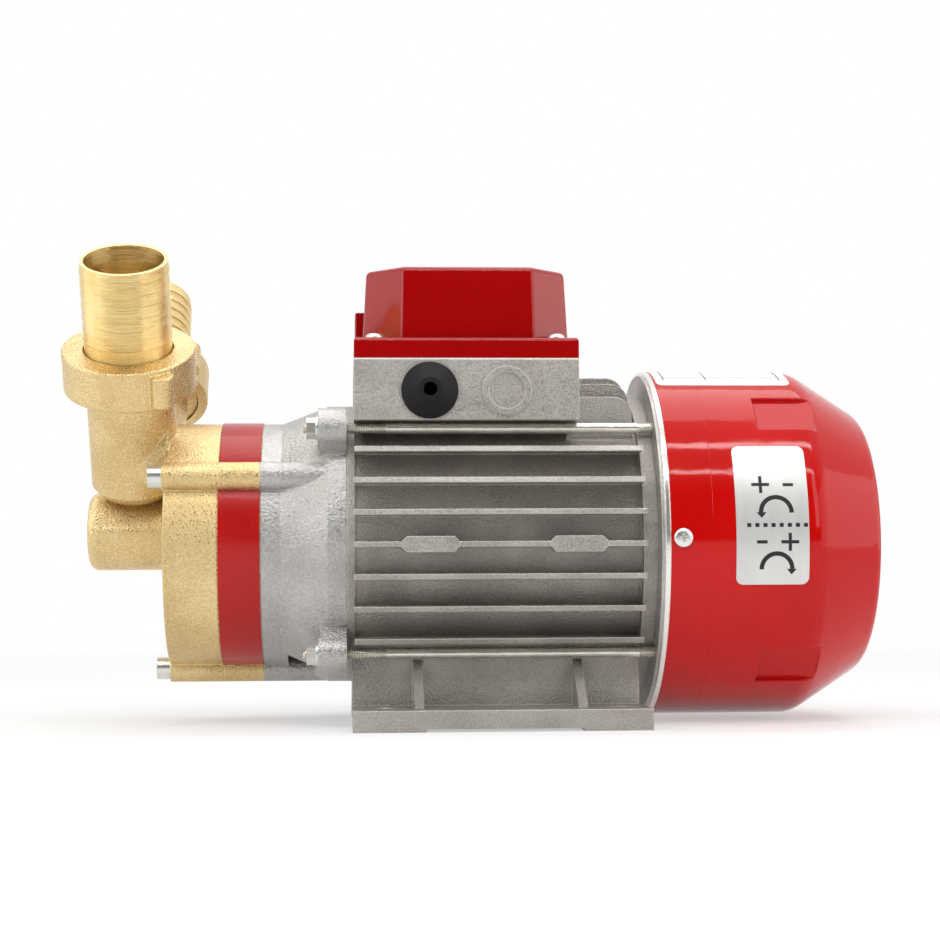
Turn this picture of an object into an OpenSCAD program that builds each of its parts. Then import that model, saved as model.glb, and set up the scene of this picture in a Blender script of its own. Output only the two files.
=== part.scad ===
// Electric pump: brass wet end with two hose unions, finned motor, terminal box and fan cover.
// The shaft lies along X with the pump end at -X and the fan end at +X. Z is up, and the
// origin is the middle of the foot hole pattern on the mounting plane.

/* [Motor frame] */
// Height of the shaft line above the mounting plane
shaft_h = 80; // [79:0.5:84]
// Frame length from the foot pattern to the pump end
frame_front = 65.7; // [65:0.1:68]
// Frame length from the foot pattern to the fan end
frame_rear = 66.5; // [66:0.1:69]
// Outer radius of the round shell
shell_r = 61; // [60:0.5:61.5]
// Bore radius for the stator core
bore_r = 56; // [55:0.5:57]
// Radius of the ring at the pump end
front_ring_r = 62; // [61.5:0.5:63]
// Length of the ring at the pump end
front_ring_len = 3.6; // [3:0.2:5]
// Radius of the ring at the fan end
rear_ring_r = 65.4; // [64:0.2:65.6]
// Length of the ring at the fan end
rear_ring_len = 6.2; // [5:0.2:7]
// Radius that the cooling fins reach
fin_r = 75; // [72:0.5:76]
// Thickness of a fin
fin_t = 2.4; // [2:0.1:3]
// Distance between the side fins
fin_pitch = 13.6; // [13:0.1:13.8]
// How far the middle side fin lies below the shaft line
fin_drop = 2.2; // [1:0.1:2.6]
// Gap between the outer upright fins and the tie rods
top_fin_rod_gap = 3.6; // [2.7:0.1:5.4]
// Number of upright fins on each side of the middle one
top_fin_side_n = 3; // [2:1:4]
// Corner radius of the upright fins
top_fin_corner = 8; // [5:0.5:9]
// Gap between the upright fins and the fan end of the frame
top_fin_gap = 7.5; // [7:0.5:10]
// Length of a raised pad on the middle side fin
pad_len = 24.4; // [20:0.2:26]
// Height of a raised pad
pad_h = 6.8; // [5:0.2:8]
// How far a pad stands out past the fins
pad_proud = 0.6; // [0.4:0.1:1]

/* [Feet] */
// Distance between the foot holes along the shaft
foot_hole_x = 100; // [98:1:102]
// Distance between the foot holes across the shaft
foot_hole_y = 125; // [122:1:128]
// Radius of a foot hole
foot_hole_r = 5; // [4:0.1:5.5]
// Length of a foot
foot_len = 125; // [120:1:128]
// Width over both feet
foot_w = 160; // [156:1:164]
// Width of the space between the feet
foot_gap_w = 72; // [68:1:76]
// Thickness of a foot
foot_t = 9; // [8:0.5:11]
// How far the feet are set back towards the pump end
foot_shift = 1; // [0:0.5:1.5]
// Depth of the relief under each foot
foot_relief_d = 1.2; // [0.8:0.1:2]
// Length of the relief under each foot
foot_relief_len = 65.6; // [60:0.2:70]
// Thickness of a leg wall
leg_t = 6; // [5:0.2:6.4]
// Distance from the shaft line to the outer face of a leg wall
leg_y = 45; // [44:0.2:45.4]
// Thickness of a gusset between leg and foot
gusset_t = 4; // [3:0.2:5]
// Drop from the lower tie rods to the top of a gusset
gusset_drop = 2.8; // [2.6:0.1:6]
// Reach of a gusset along the foot
gusset_reach = 27; // [18:0.5:27]
// Distance between the two gussets of a foot
gusset_gap = 69; // [66:0.5:72]

/* [Terminal box] */
// Length of the box along the shaft
box_len = 96.7; // [94:0.1:99]
// Width of the box across the shaft
box_w = 116; // [114:1:120]
// Distance from the pump end of the frame to the box
box_inset = 3.1; // [2.5:0.1:4]
// Height of the box floor above the shaft line
box_z = 51.4; // [51.4:0.1:53]
// Height of the cast box
box_h = 26; // [25:0.5:28]
// Wall and floor thickness of the cast box
box_wall = 4; // [3.5:0.1:4.5]
// Distance from a cover screw to the box ends
screw_in_x = 9.1; // [8.5:0.1:10]
// Distance from a cover screw to the box sides
screw_in_y = 9.5; // [9:0.1:10]
// Radius of a screw pillar
pillar_r = 6; // [5.6:0.1:6.4]
// Length position of the cable entry from the pump end of the box
entry_x = 32.4; // [30:0.1:34]
// Height of the cable entry above the box floor
entry_z = 12.6; // [12.4:0.1:13.4]
// Radius of the cable entry hole in the wall
entry_r = 7.4; // [6.5:0.1:7.5]
// Length position of the knock-out from the pump end of the box
knock_x = 65.6; // [62:0.1:68]
// Outer radius of the knock-out rim
knock_r = 10.5; // [9:0.1:11]
// Inner radius of the knock-out rim
knock_in_r = 7.9; // [6:0.1:8.4]
// How far the knock-out rim stands out
knock_proud = 0.8; // [0.6:0.1:1.2]
// Thickness of the gasket under the cover
box_gasket_t = 0.5; // [0.4:0.1:1]
// Radius of the wire passage through the shell
wire_hole_r = 7; // [6:0.5:7.5]

/* [Box cover] */
// Thickness of the cover's flange
flange_t = 9.1; // [8.5:0.1:10]
// Height of the hood above the flange
hood_h = 31.8; // [30:0.2:34]
// Gap from the flange edge to the hood at the pump end
hood_in_front = 4; // [3.8:0.1:4.4]
// Gap from the flange edge to the hood at the fan end
hood_in_rear = 2.2; // [2:0.1:3]
// Gap from the flange edge to the hood at the sides
hood_in_side = 6; // [5:0.2:6.4]
// Width of the sloping corner faces, measured along the sides
hood_corner = 16.5; // [15.5:0.1:17]
// Draft angle of the hood walls
hood_draft = 3; // [2:0.1:4]
// Wall thickness of the cover
cover_wall = 3; // [2.6:0.1:3.2]
// Shank radius of a cover screw
cover_screw_r = 2; // [1.8:0.1:2.2]
// Head radius of a cover screw
cover_head_r = 4; // [3.6:0.1:4.2]
// Head height of a cover screw
cover_head_h = 2.6; // [2.2:0.1:3]
// Depth of a cover screw in its pillar
cover_screw_depth = 12; // [10:0.5:14]

/* [Reversing switch] */
// Width of the moulded surround
surround_w = 24; // [23:0.5:28]
// Height of the moulded surround above the flange
surround_h = 16.6; // [16:0.2:18]
// How far the surround stands out of the hood
surround_proud = 3.3; // [3:0.1:4]
// Width of the switch body
switch_w = 19; // [18.6:0.1:20]
// Height of the switch body
switch_h = 12.4; // [12:0.1:13]
// Depth of the switch body
switch_d = 22; // [20:0.5:26]
// Radius of the rocker about its pivot
rocker_r = 8.3; // [7.6:0.1:8.4]
// Height of the rocker
rocker_h = 9.6; // [8.6:0.1:9.8]
// Slope of each half of the rocker's face
rocker_slope = 10; // [8:0.5:12]
// Radius of the rocker's pivot pin
rocker_pin_r = 1.2; // [1:0.1:1.4]

/* [Pump bracket] */
// Length of the bracket
bracket_len = 37; // [36:0.1:39]
// Thickness of its flange
bracket_flange_t = 8.6; // [8:0.1:9]
// Length of the plain ring at the motor end
bracket_ring_len = 8.1; // [7:0.1:9]
// Radius of the plain ring at the motor end
bracket_ring_r = 62; // [61:0.1:62]
// Thickness of the front wall
bracket_wall = 11; // [10.6:0.1:12]
// Radius of the bearing housings in bracket and shield
housing_r = 26; // [24:0.5:27]
// Radius of the lantern space behind the front wall
lantern_r = 47; // [44:0.5:48]
// Radius of the recess at the motor end
recess_r = 51; // [50:0.5:52]
// Radius of a tie-rod ear
ear_r = 8.75; // [8:0.05:9]
// Length of a tie-rod ear
ear_len = 12.3; // [11:0.1:13]
// Width of the drip opening
drip_w = 48; // [40:1:54]
// Length of the drip opening
drip_len = 12; // [10:0.5:13]
// Height of the drip opening
drip_h = 12; // [11:0.5:13]

/* [Pump casing] */
// Outer radius of cover, casing ring and bracket flange
pump_r = 54; // [53:0.5:55]
// Length of the front cover
cover_len = 23.2; // [22:0.1:25]
// Length of the casing ring
ring_len = 18.1; // [17.5:0.1:19]
// Radius of the impeller chamber
chamber_r = 43; // [42:0.5:44]
// Thickness of the casing ring's rear wall
ring_wall = 5; // [4.5:0.1:6]
// Radius of the bolt circle
bolt_circle_r = 55.6; // [55:0.1:56]
// Radius of a bolt lug
lug_r = 6.2; // [6:0.1:6.6]
// How far the lugs stand out of the cover's face
lug_proud = 0.6; // [0.4:0.1:1]
// Thickness of the red band
band_t = 0.5; // [0.4:0.1:0.8]
// Radius of the hollow for the impeller nut
nut_hollow_r = 13; // [12.4:0.2:14]
// Depth of the hollow for the impeller nut
nut_hollow_d = 17; // [15:0.5:18]
// Radius of the lower boss on the cover
boss_r = 17.3; // [16:0.1:17.6]
// Height of the lower boss above the shaft line
boss_z = 5.7; // [5:0.1:6.5]
// Length of the lower boss in front of the cover
boss_len = 36.6; // [35:0.1:38]
// Wall thickness of the lower boss
boss_wall = 5; // [4:0.2:6]
// Radius of the ridge along the lower boss
ridge_r = 5; // [4:0.2:5.6]
// Radius of the casing seal ring
oring_r = 51; // [50.8:0.1:51.4]
// Section radius of the casing seal ring
oring_cs = 1; // [0.8:0.1:1.1]

/* [Ports] */
// Distance from the cover's face to the port axes
port_x = 15.6; // [15:0.1:17]
// Height above the shaft line where the port axes meet
port_z = 10; // [9:0.5:11]
// Tilt of each port from upright
port_tilt = 30.5; // [30:0.5:32]
// Outer radius of a port tube
port_r = 19.2; // [18.6:0.1:19.6]
// Bore radius of a port tube
port_bore_r = 15; // [14:0.2:15.4]
// Distance along a port axis to the elbow's middle
elbow_t = 34.7; // [34:0.1:36]
// Radius that rounds the elbow's outer corner
elbow_round_r = 23.5; // [22:0.5:25]
// Bore radius of the passage into the casing
passage_r = 9.5; // [8:0.1:9.8]
// Distance along a port axis to the top of its thread
port_len = 76.4; // [75.6:0.1:78]
// Radius of the thread collar
thread_r = 23.9; // [23.5:0.1:24]
// Length of the thread collar
thread_len = 7.9; // [7:0.1:8.4]

/* [Hose unions] */
// Thickness of a port gasket
gasket_t = 2.2; // [2:0.1:3]
// Collar radius of a hose tail
tail_collar_r = 23.5; // [23:0.1:23.5]
// Collar thickness of a hose tail
tail_collar_t = 3.4; // [3:0.1:4]
// Outer radius of a hose tail at its barbs
tail_r = 19.1; // [18.6:0.1:19.2]
// Bore radius of a hose tail
tail_bore_r = 17; // [16:0.1:17.2]
// Height of a barb
barb_h = 0.6; // [0.5:0.1:0.9]
// Length of a barb
barb_pitch = 5; // [4.5:0.1:5.5]
// Number of barbs
barb_n = 7; // [6:1:7]
// Length of a hose tail above the ring nut
tail_len = 40.6; // [39:0.1:44]
// Outer radius of a ring nut
nut_r = 28.7; // [28:0.1:29.4]
// Height of a ring nut
nut_h = 18.1; // [17.5:0.1:19]
// Radial clearance between nut and thread, and between nut and tail
nut_clear = 0.4; // [0.3:0.05:0.5]
// Thickness of the lip that holds the tail
nut_lip_t = 3.6; // [3:0.1:4]
// Width of a nut lug
nut_lug_w = 10.4; // [9:0.1:11]
// Height of a nut lug
nut_lug_h = 14; // [12:0.1:15]
// How far a nut lug stands out
nut_lug_out = 5.6; // [4.5:0.1:6]

/* [Shaft and bearings] */
// Length of the shaft in front of the frame's pump end
shaft_front = 66.3; // [66:0.1:68]
// Length of the shaft behind the frame's fan end
shaft_rear = 54; // [52:0.5:55]
// Shaft radius under the impeller nut
shaft_nut_r = 6; // [5.6:0.1:6.2]
// Shaft radius under the impeller
shaft_imp_r = 7; // [6.6:0.1:7.2]
// Shaft radius under the seal
shaft_seal_r = 8; // [7.6:0.1:8.2]
// Shaft radius under the rotor core
shaft_core_r = 10; // [9.5:0.1:10.5]
// Shaft radius under the fan
shaft_fan_r = 7; // [6.6:0.1:7.4]
// Bearing bore radius
brg_in_r = 8.5; // [8.4:0.1:8.8]
// Bearing outer radius
brg_out_r = 20; // [19.5:0.1:20.5]
// Bearing width
brg_w = 12; // [11:0.2:12.4]
// Radius of a bearing ball
ball_r = 3.4; // [3:0.1:3.5]
// Number of balls
ball_n = 8; // [7:1:9]
// Thickness of the bearing preload washer
wave_t = 1; // [0.6:0.1:1.4]

/* [Rotor and stator] */
// Length of the laminated cores
core_len = 76; // [70:1:80]
// Radial air gap
air_gap = 0.3; // [0.25:0.05:0.4]
// Bore radius of the stator core
stator_in_r = 31.3; // [30:0.1:32]
// Number of stator slots
slot_n = 24; // [18:6:24]
// Width of a stator slot
slot_w = 4.4; // [3.6:0.1:4.6]
// Reach of the end windings past the core
winding_len = 16; // [14:0.5:17]
// Number of rotor bars
bar_n = 18; // [14:1:20]
// Radius of a rotor bar
bar_r = 2.2; // [1.8:0.1:2.4]
// Length of a rotor end ring
end_ring_len = 6; // [4:0.5:8]

/* [Impeller and seal] */
// Number of impeller vanes
vane_n = 24; // [18:1:26]
// Thickness of an impeller vane
vane_t = 2; // [1.6:0.1:2.2]
// Hub radius of the impeller
imp_hub_r = 24; // [22:0.5:25]
// Gap between the impeller and the casing on all sides
imp_gap = 0.4; // [0.3:0.05:0.5]
// Width of the impeller key
key_w = 4; // [3.5:0.1:4.2]
// Half width across flats of the impeller nut
imp_nut_half = 9; // [8.5:0.1:9.4]
// Thickness of the impeller nut
imp_nut_t = 9; // [8:0.5:10]
// Outer radius of the turning seal head
seal_head_r = 12.4; // [12:0.1:12.6]
// Radius of the fixed seal seat
seal_seat_r = 13.3; // [13.2:0.1:13.6]
// Thickness of the fixed seal seat
seal_seat_t = 6; // [5:0.2:6.4]
// Outer radius of the slinger ring
slinger_r = 14; // [13:0.5:15]
// Thickness of the slinger ring
slinger_t = 3; // [2.4:0.2:3.4]

/* [Fan end] */
// Thickness of the shield's plate
shield_t = 3.5; // [3.2:0.1:4.5]
// Step from the bright rim down to the shield's cast face
shield_step = 1.6; // [1.1:0.1:2.1]
// Thickness of the bright rim
rim_t = 2.2; // [1.8:0.1:2.6]
// Outer radius of the fan cover and of the bright rim
cowl_r = 77.6; // [77.5:0.1:78.6]
// Wall thickness of the fan cover
cowl_wall = 2.6; // [2.4:0.1:2.8]
// Length of the fan cover's round part
cowl_len = 64; // [62:0.5:66]
// Length of the fan cover's cone
cone_len = 28.2; // [27:0.1:30]
// Radius at the end of the cone
cone_r = 59.6; // [58:0.1:61]
// Length of the rounded edge behind the cone
edge_len = 3; // [2.6:0.1:3.4]
// Radius of the flat end
end_r = 56.6; // [55:0.1:57.4]
// Length of a grip recess
grip_len = 26; // [22:0.5:28]
// Width of a grip recess
grip_w = 20; // [16:0.5:22]
// Depth of a grip recess
grip_d = 2.4; // [2:0.1:2.6]
// Width of an air slot ring in the end wall
vent_w = 7; // [5:0.5:8]
// Width of a web between the air slots
vent_web = 4; // [3:0.5:5]
// Distance of the cover screws from the rim
cowl_screw_x = 5.1; // [5:0.1:6]
// Head radius of a fan cover screw
cowl_head_r = 4.1; // [3.8:0.1:4.3]
// Head height of a fan cover screw
cowl_head_h = 1.8; // [1.4:0.1:2]
// Shank radius of a fan cover screw
cowl_screw_r = 2; // [1.8:0.1:2.1]
// Gap between the fan's blades and the fan cover
fan_gap = 12; // [11:0.5:15]
// Length of the cooling fan
fan_len = 22; // [20:0.5:24]
// Thickness of a fan blade
blade_t = 2.2; // [2:0.1:2.6]
// Number of fan blades
blade_n = 10; // [8:1:12]

/* [Fasteners] */
// Distance from the shaft line to a tie rod, across and up
tie_off = 48.4; // [48:0.1:48.6]
// Radius of a tie rod
tie_r = 2.5; // [2.2:0.1:2.6]
// Width across flats of a tie-rod nut, halved
tie_nut_half = 4; // [3.8:0.1:4.2]
// Thickness of a tie-rod nut
tie_nut_t = 4; // [3.6:0.1:4.4]
// Radius of a tie-rod washer
washer_r = 5; // [4.8:0.1:5.4]
// Thickness of a tie-rod washer
washer_t = 1; // [0.8:0.1:1.2]
// Radius of a pump bolt
bolt_r = 3; // [2.8:0.1:3.1]
// Length of a pump bolt under its head
bolt_len = 60; // [58:1:62]
// Head radius of a pump bolt
bolt_head_r = 5; // [4.6:0.1:5.2]
// Head height of a pump bolt
bolt_head_h = 6; // [5.6:0.1:6.4]
// Width across flats of its socket, halved
socket_half = 2.5; // [2.2:0.1:2.6]

/* [Cable grommet] */
// Outer radius of the grommet's cone
grommet_r = 12.2; // [11.4:0.1:12.4]
// How far the grommet stands out
grommet_out = 7; // [5:0.5:8]
// Radius of the grommet's tip
grommet_tip_r = 5; // [4.4:0.1:6]
// Radius of the cable hole
cable_r = 3; // [2.5:0.1:4]

/* [Labels] */
// Thickness of the labels
label_t = 0.2; // [0.15:0.05:0.3]
// Length of the rotation label along the shaft
rot_label_len = 31; // [28:0.5:33]
// Height of the rotation label round the cover
rot_label_h = 61; // [56:0.5:64]
// Gap between the rotation label and the rim
rot_label_x = 27.6; // [25:0.2:30]
// How far the middle of the rotation label lies above the shaft line
rot_label_z = 10.4; // [9:0.2:12]
// Corner radius of the rotation label
label_corner = 3; // [2:0.2:4]
// Length of the rating plate
plate_len = 59.6; // [56:0.2:61]
// Width of the rating plate round the cover
plate_w = 77; // [70:1:79]
// Gap between the rating plate and the rim
plate_x = 1; // [0.6:0.1:2]

/* [Box contents] */
// Length of the terminal block
block_len = 40; // [36:1:42]
// Width of the terminal block
block_w = 22; // [20:0.5:24]
// Height of the terminal block
block_h = 10; // [8:0.5:12]
// Height of the cast pad under the terminal block, above the shell
block_pad_h = 3; // [2:0.5:4]
// Radius of a terminal stud
stud_r = 2; // [1.6:0.1:2.2]
// Height of a stud above the block
stud_h = 7; // [6:0.5:8]
// Radius of the run capacitor
cap_r = 14; // [12:0.5:14.5]
// Length of the run capacitor
cap_len = 56; // [50:1:60]
// Sideways place of the run capacitor
cap_y = 31; // [30:0.5:32]
// Height of the run capacitor's axis above the box floor
cap_z = 34; // [33:0.5:36]
// Thickness of a cradle rib
cradle_t = 4; // [3:0.5:5]
// Radius of the insulated leads
lead_r = 1.3; // [1:0.1:1.6]

/* [Hidden] */
$fn = 96;
// Shared small values: overrun of a cut, and the clearances between pieces.
over = 1;
fit_gap = 0.02;
run_gap = 0.05;
face_gap = 0.1;
bolt_gap = 0.3;
// Fixed sizes of the motor frame, the bracket and the shield.
fin_inset_front = 3.2;
fin_inset_rear = 6;
fin_in_y = 42;
pad_places = [-30.8, 31.7];
bracket_lip = 3.2;
shield_lip = 3;
lip_hole_r = 15.6;
bracket_web = 5;
ear_web_set = 0.6;
rod_proud = 1.3;
rod_boss_r = 4.9;
rod_boss_len = 9;
rod_grip = 10;
bolt_spare = 2;
socket_depth = 3;
lug_pad_w = 14;
lug_pad_t = 7;
lug_pad_len = 10;
cowl_screw_len = 8;
// Fixed sizes of the rotor, the stator, the bearings and the fan.
race_half = 2.2;
cage_half = 0.9;
cage_w = 8;
slot_lip = 2.2;
slot_depth = 12;
slot_gap = 0.15;
wind_wall = 1.6;
bar_skin = 1.5;
end_ring_in_r = 20;
fan_end_gap = 5;
fan_disc_t = 2.4;
fan_hub_r = 13;
clip_t = 1.2;
clip_r = 9.4;
clip_depth = 0.7;
// Fixed sizes of the pump casing and its ports.
boss_edge = 4;
passage_t = 30;
passage_back = 8;
elbow_in = 26.5;
elbow_drop = 18.4;
near_lug_a = -57;
far_lug_a = -44;
// Fixed sizes of the fan cover.
grip_pad = 3;
grip_pad_side = 3;
grip_over_cone = 3;
vent_radii = [14, 27, 40];
// Fixed sizes of the switch and the box contents.
switch_sunk = 0.5;
rocker_set = 4.9;
rocker_gap = 0.35;
block_x0 = -30;
pad_spare = 2;
stud_in = 6;
stud_sink = 5;
stud_nut_t = 2;
cap_x0 = -42;
cradle_in = 6;
cradle_w = 20;
earth_x = 20;
earth_y = -38;
earth_head_r = 4;
earth_head_h = 2.6;
earth_r = 2;
earth_len = 3;
lead_step = 5;
lead_knee = 0.25;
x_leads = -46;
lead_top = 5;
// Places along the shaft.
x_frame0 = -frame_front;
x_frame1 = frame_rear;
x_ring1 = x_frame0 - bracket_len;
x_ring0 = x_ring1 - ring_len;
x_cover0 = x_ring0 - cover_len;
x_face = x_cover0 - lug_proud;
x_flange1 = x_ring1 + bracket_flange_t;
x_wall1 = x_ring1 + bracket_wall;
x_bring0 = x_frame0 - bracket_ring_len;
x_rim1 = x_frame1 + shield_t;
x_cone0 = x_rim1 + cowl_len;
x_cone1 = x_cone0 + cone_len;
x_end = x_cone1 + edge_len;
x_fin0 = x_frame0 + fin_inset_front;
x_fin1 = x_frame1 - fin_inset_rear;
// Terminal box places.
x_box0 = x_frame0 + box_inset;
x_box1 = x_box0 + box_len;
x_box_mid = (x_box0 + x_box1) / 2;
y_box = box_w / 2;
z_box0 = shaft_h + box_z;
z_box1 = z_box0 + box_h;
z_cov0 = z_box1 + box_gasket_t;
z_cov1 = z_cov0 + flange_t;
z_hood1 = z_cov1 + hood_h;
x_screws = [x_box0 + screw_in_x, x_box1 - screw_in_x];
y_screws = [screw_in_y - y_box, y_box - screw_in_y];
// Impeller and seal places.
x_imp0 = x_ring0 + imp_gap;
x_chamber1 = x_ring1 - ring_wall;
x_imp1 = x_chamber1 - imp_gap;
imp_r = chamber_r - imp_gap;
x_seat0 = x_wall1 - seal_seat_t;
// Bearing places: the first is in the bracket and the second in the shield.
x_brg1 = x_frame0 - brg_w;
x_brg2 = x_frame1 + face_gap;
x_hub0 = x_brg1 - bracket_lip;
x_hub3 = x_brg2 + brg_w + wave_t;
x_hub4 = x_hub3 + shield_lip;
pitch_r = (brg_in_r + brg_out_r) / 2;
groove_r = ball_r + face_gap;
// Rotor and stator places.
x_core0 = -core_len / 2;
x_core1 = core_len / 2;
rotor_r = stator_in_r - air_gap;
slot_r0 = stator_in_r + slot_lip;
slot_r1 = slot_r0 + slot_depth;
bar_place_r = rotor_r - bar_r - bar_skin;
end_ring_r = rotor_r - bar_skin / 2;
winding_r = slot_r1 + wind_wall;
// Shaft ends and the fan.
x_shaft0 = x_frame0 - shaft_front;
x_shaft1 = x_frame1 + shaft_rear;
x_fan1 = x_shaft1 - fan_end_gap;
x_fan0 = x_fan1 - fan_len;
// Fasteners: one bolt at the bottom, and one 30 degrees above the shaft line at each side.
bolt_angles = [-90, 30, 150];
tie_places = [for (s = [-1, 1], t = [-1, 1]) [s * tie_off, t * tie_off]];
x_ear0 = x_frame0 - ear_len;
x_nut0 = x_ear0 - washer_t - tie_nut_t;
cowl_screw_angles = [0, 180];
shield_r = cowl_r - shield_step;
fan_r = cowl_r - cowl_wall - fan_gap;
gusset_h = shaft_h - tie_off - foot_t + foot_relief_d - gusset_drop;
top_fin_pitch = (tie_off - tie_r - top_fin_rod_gap - fin_t / 2) / top_fin_side_n;
cowl_in_r = cowl_r - cowl_wall;
// The grips sit at the four corners of the fan cover.
grip_angles = [45, 135, 225, 315];
x_grip0 = x_cone0 + grip_over_cone - grip_len;
// Distance of each sloping face of the hood from the middle of the box, with its direction.
hood_front_d = box_len / 2 - hood_in_front;
hood_rear_d = box_len / 2 - hood_in_rear;
hood_side_d = y_box - hood_in_side;
corner_front_d = (hood_front_d + hood_side_d - hood_corner) / sqrt(2);
corner_rear_d = (hood_rear_d + hood_side_d - hood_corner) / sqrt(2);
hood_faces = [
  [0, hood_rear_d],
  [45, corner_rear_d],
  [90, hood_side_d],
  [135, corner_front_d],
  [180, hood_front_d],
  [225, corner_front_d],
  [270, hood_side_d],
  [315, corner_rear_d]];
// Switch places.
x_hood_face = x_box_mid - hood_front_d;
x_surround = x_hood_face - surround_proud;
z_switch = z_cov1 + surround_h / 2;
x_switch0 = x_surround + switch_sunk;
x_switch1 = x_switch0 + switch_d;
x_pivot = x_surround + rocker_set;
// Port places: t is a distance along a port axis, from where the two axes meet.
x_port = x_cover0 - port_x;
passage_y = passage_t * sin(port_tilt);
passage_z = port_z + passage_t * cos(port_tilt);
elbow_y = elbow_t * sin(port_tilt);
elbow_z = port_z + elbow_t * cos(port_tilt);
t_collar = port_len + gasket_t;
t_lip = t_collar + tail_collar_t + face_gap;
t_nut1 = t_lip + nut_lip_t;
t_nut0 = t_nut1 - nut_h;
t_lug0 = t_nut0 + (nut_h - nut_lug_h) / 2;
t_tail = t_nut1 + tail_len;
barb_root_r = tail_r - barb_h;
// Places of the box contents.
z_pad1 = shaft_h + shell_r + block_pad_h;
z_block1 = z_pad1 + block_h;
pad_y = block_w / 2 + pad_spare;
block_mid = block_x0 + block_len / 2;
stud_xs = [block_x0 + stud_in, block_mid, block_x0 + block_len - stud_in];
stud_y = block_w / 5;
z_cap = z_box0 + cap_z;
cap_x1 = cap_x0 + cap_len;
cradle_xs = [cap_x0 + cradle_in, cap_x1 - cradle_in - cradle_t];
brass = [0.80, 0.66, 0.38];
alu = [0.62, 0.61, 0.59];
red = [0.78, 0.06, 0.05];
zinc = [0.78, 0.80, 0.80];
steel = [0.60, 0.61, 0.63];
black = [0.08, 0.08, 0.09];

// Basic shapes about the shaft line.
module on_shaft() {
  translate([0, 0, shaft_h]) children();
}
module xcyl(x0, x1, r) {
  on_shaft() translate([x0, 0, 0]) rotate([0, 90, 0]) cylinder(h = x1 - x0, r = r);
}
module xcone(x0, x1, r0, r1) {
  on_shaft() translate([x0, 0, 0]) rotate([0, 90, 0]) cylinder(h = x1 - x0, r1 = r0, r2 = r1);
}
module xring(x0, x1, ro, ri) {
  difference() {
    xcyl(x0, x1, ro);
    xcyl(x0 - over, x1 + over, ri);
  }
}
// A rod along X at a place (y, z) measured from the shaft line.
module xrod(x0, x1, r, y, z) {
  on_shaft() translate([x0, y, z]) rotate([0, 90, 0]) cylinder(h = x1 - x0, r = r);
}
module xhex(x0, x1, half, y, z) {
  on_shaft() translate([x0, y, z]) rotate([0, 90, 0])
    cylinder(h = x1 - x0, r = half / cos(30), $fn = 6);
}
// A box from its two corners.
module block(a, b) {
  translate(a) cube([b[0] - a[0], b[1] - a[1], b[2] - a[2]]);
}
// Copies at the bolt lugs and at the tie rods.
module at_lugs() {
  for (a = bolt_angles)
    on_shaft() translate([0, bolt_circle_r * cos(a), bolt_circle_r * sin(a)]) children();
}
module at_ties() {
  for (p = tie_places) on_shaft() translate([0, p[0], p[1]]) children();
}
module lug_rods(x0, x1, r) {
  at_lugs() translate([x0, 0, 0]) rotate([0, 90, 0]) cylinder(h = x1 - x0, r = r);
}
module tie_cyls(x0, x1, r) {
  at_ties() translate([x0, 0, 0]) rotate([0, 90, 0]) cylinder(h = x1 - x0, r = r);
}
// The axis of a port: side 1 leans to -Y, side -1 leans to +Y.
module on_port(side) {
  translate([x_port, 0, shaft_h + port_z]) rotate([side * port_tilt, 0, 0]) children();
}

// Motor frame
module side_fins() {
  intersection() {
    xcyl(x_fin0, x_fin1, fin_r);
    on_shaft() for (s = [-1, 1], k = [-3:3])
      translate([x_fin0, s < 0 ? -fin_r : fin_in_y, k * fin_pitch - fin_drop - fin_t / 2])
        cube([x_fin1 - x_fin0, fin_r - fin_in_y, fin_t]);
  }
}
module top_fin(k) {
  len = x_frame1 - top_fin_gap - x_box1 + box_wall;
  h = sqrt(pow(fin_r, 2) - pow(k * top_fin_pitch, 2));
  translate([x_box1 - box_wall, k * top_fin_pitch + fin_t / 2, shaft_h])
    rotate([90, 0, 0]) linear_extrude(height = fin_t) union() {
      square([len - top_fin_corner, h]);
      square([len, h - top_fin_corner]);
      translate([len - top_fin_corner, h - top_fin_corner]) circle(r = top_fin_corner);
    }
}
module fin_pad(x, s) {
  a = pad_len / 2;
  b = pad_h / 2;
  c = pad_h / 3;
  depth = pad_proud + top_fin_corner;
  translate([x, s * (fin_r + pad_proud - depth / 2), shaft_h - fin_drop])
    rotate([90, 0, 0]) linear_extrude(height = depth, center = true)
      polygon([[c - a, -b], [a - c, -b], [a, c - b], [a, b - c],
        [a - c, b], [c - a, b], [-a, b - c], [-a, c - b]]);
}
module foot(s) {
  x0 = -foot_len / 2 - foot_shift;
  x1 = foot_len / 2 - foot_shift;
  y0 = s > 0 ? foot_gap_w / 2 : -foot_w / 2;
  y1 = s > 0 ? foot_w / 2 : -foot_gap_w / 2;
  wy0 = s > 0 ? leg_y - leg_t : -leg_y;
  root = foot_t - foot_relief_d;
  difference() {
    block([x0, y0, 0], [x1, y1, foot_t]);
    block([-foot_relief_len / 2, y0 - over, -over], [foot_relief_len / 2, y1 + over, foot_relief_d]);
    for (t = [-1, 1]) translate([t * foot_hole_x / 2, s * foot_hole_y / 2, -over])
      cylinder(h = foot_t + 2 * over, r = foot_hole_r);
  }
  block([x0, wy0, root], [x1 - foot_shift, wy0 + leg_t, shaft_h - shell_r / 2]);
  for (t = [-1, 1])
    translate([t * gusset_gap / 2 - foot_shift - gusset_t / 2, s * (leg_y - fin_t), root])
      rotate([90, 0, 90]) linear_extrude(height = gusset_t)
        polygon([[0, 0], [s * gusset_reach, 0], [s * gusset_reach, foot_relief_d],
          [s * fin_t, gusset_h], [0, gusset_h]]);
}
module pillars(z0, z1, r) {
  for (x = x_screws, y = y_screws) translate([x, y, z0]) cylinder(h = z1 - z0, r = r);
}
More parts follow.
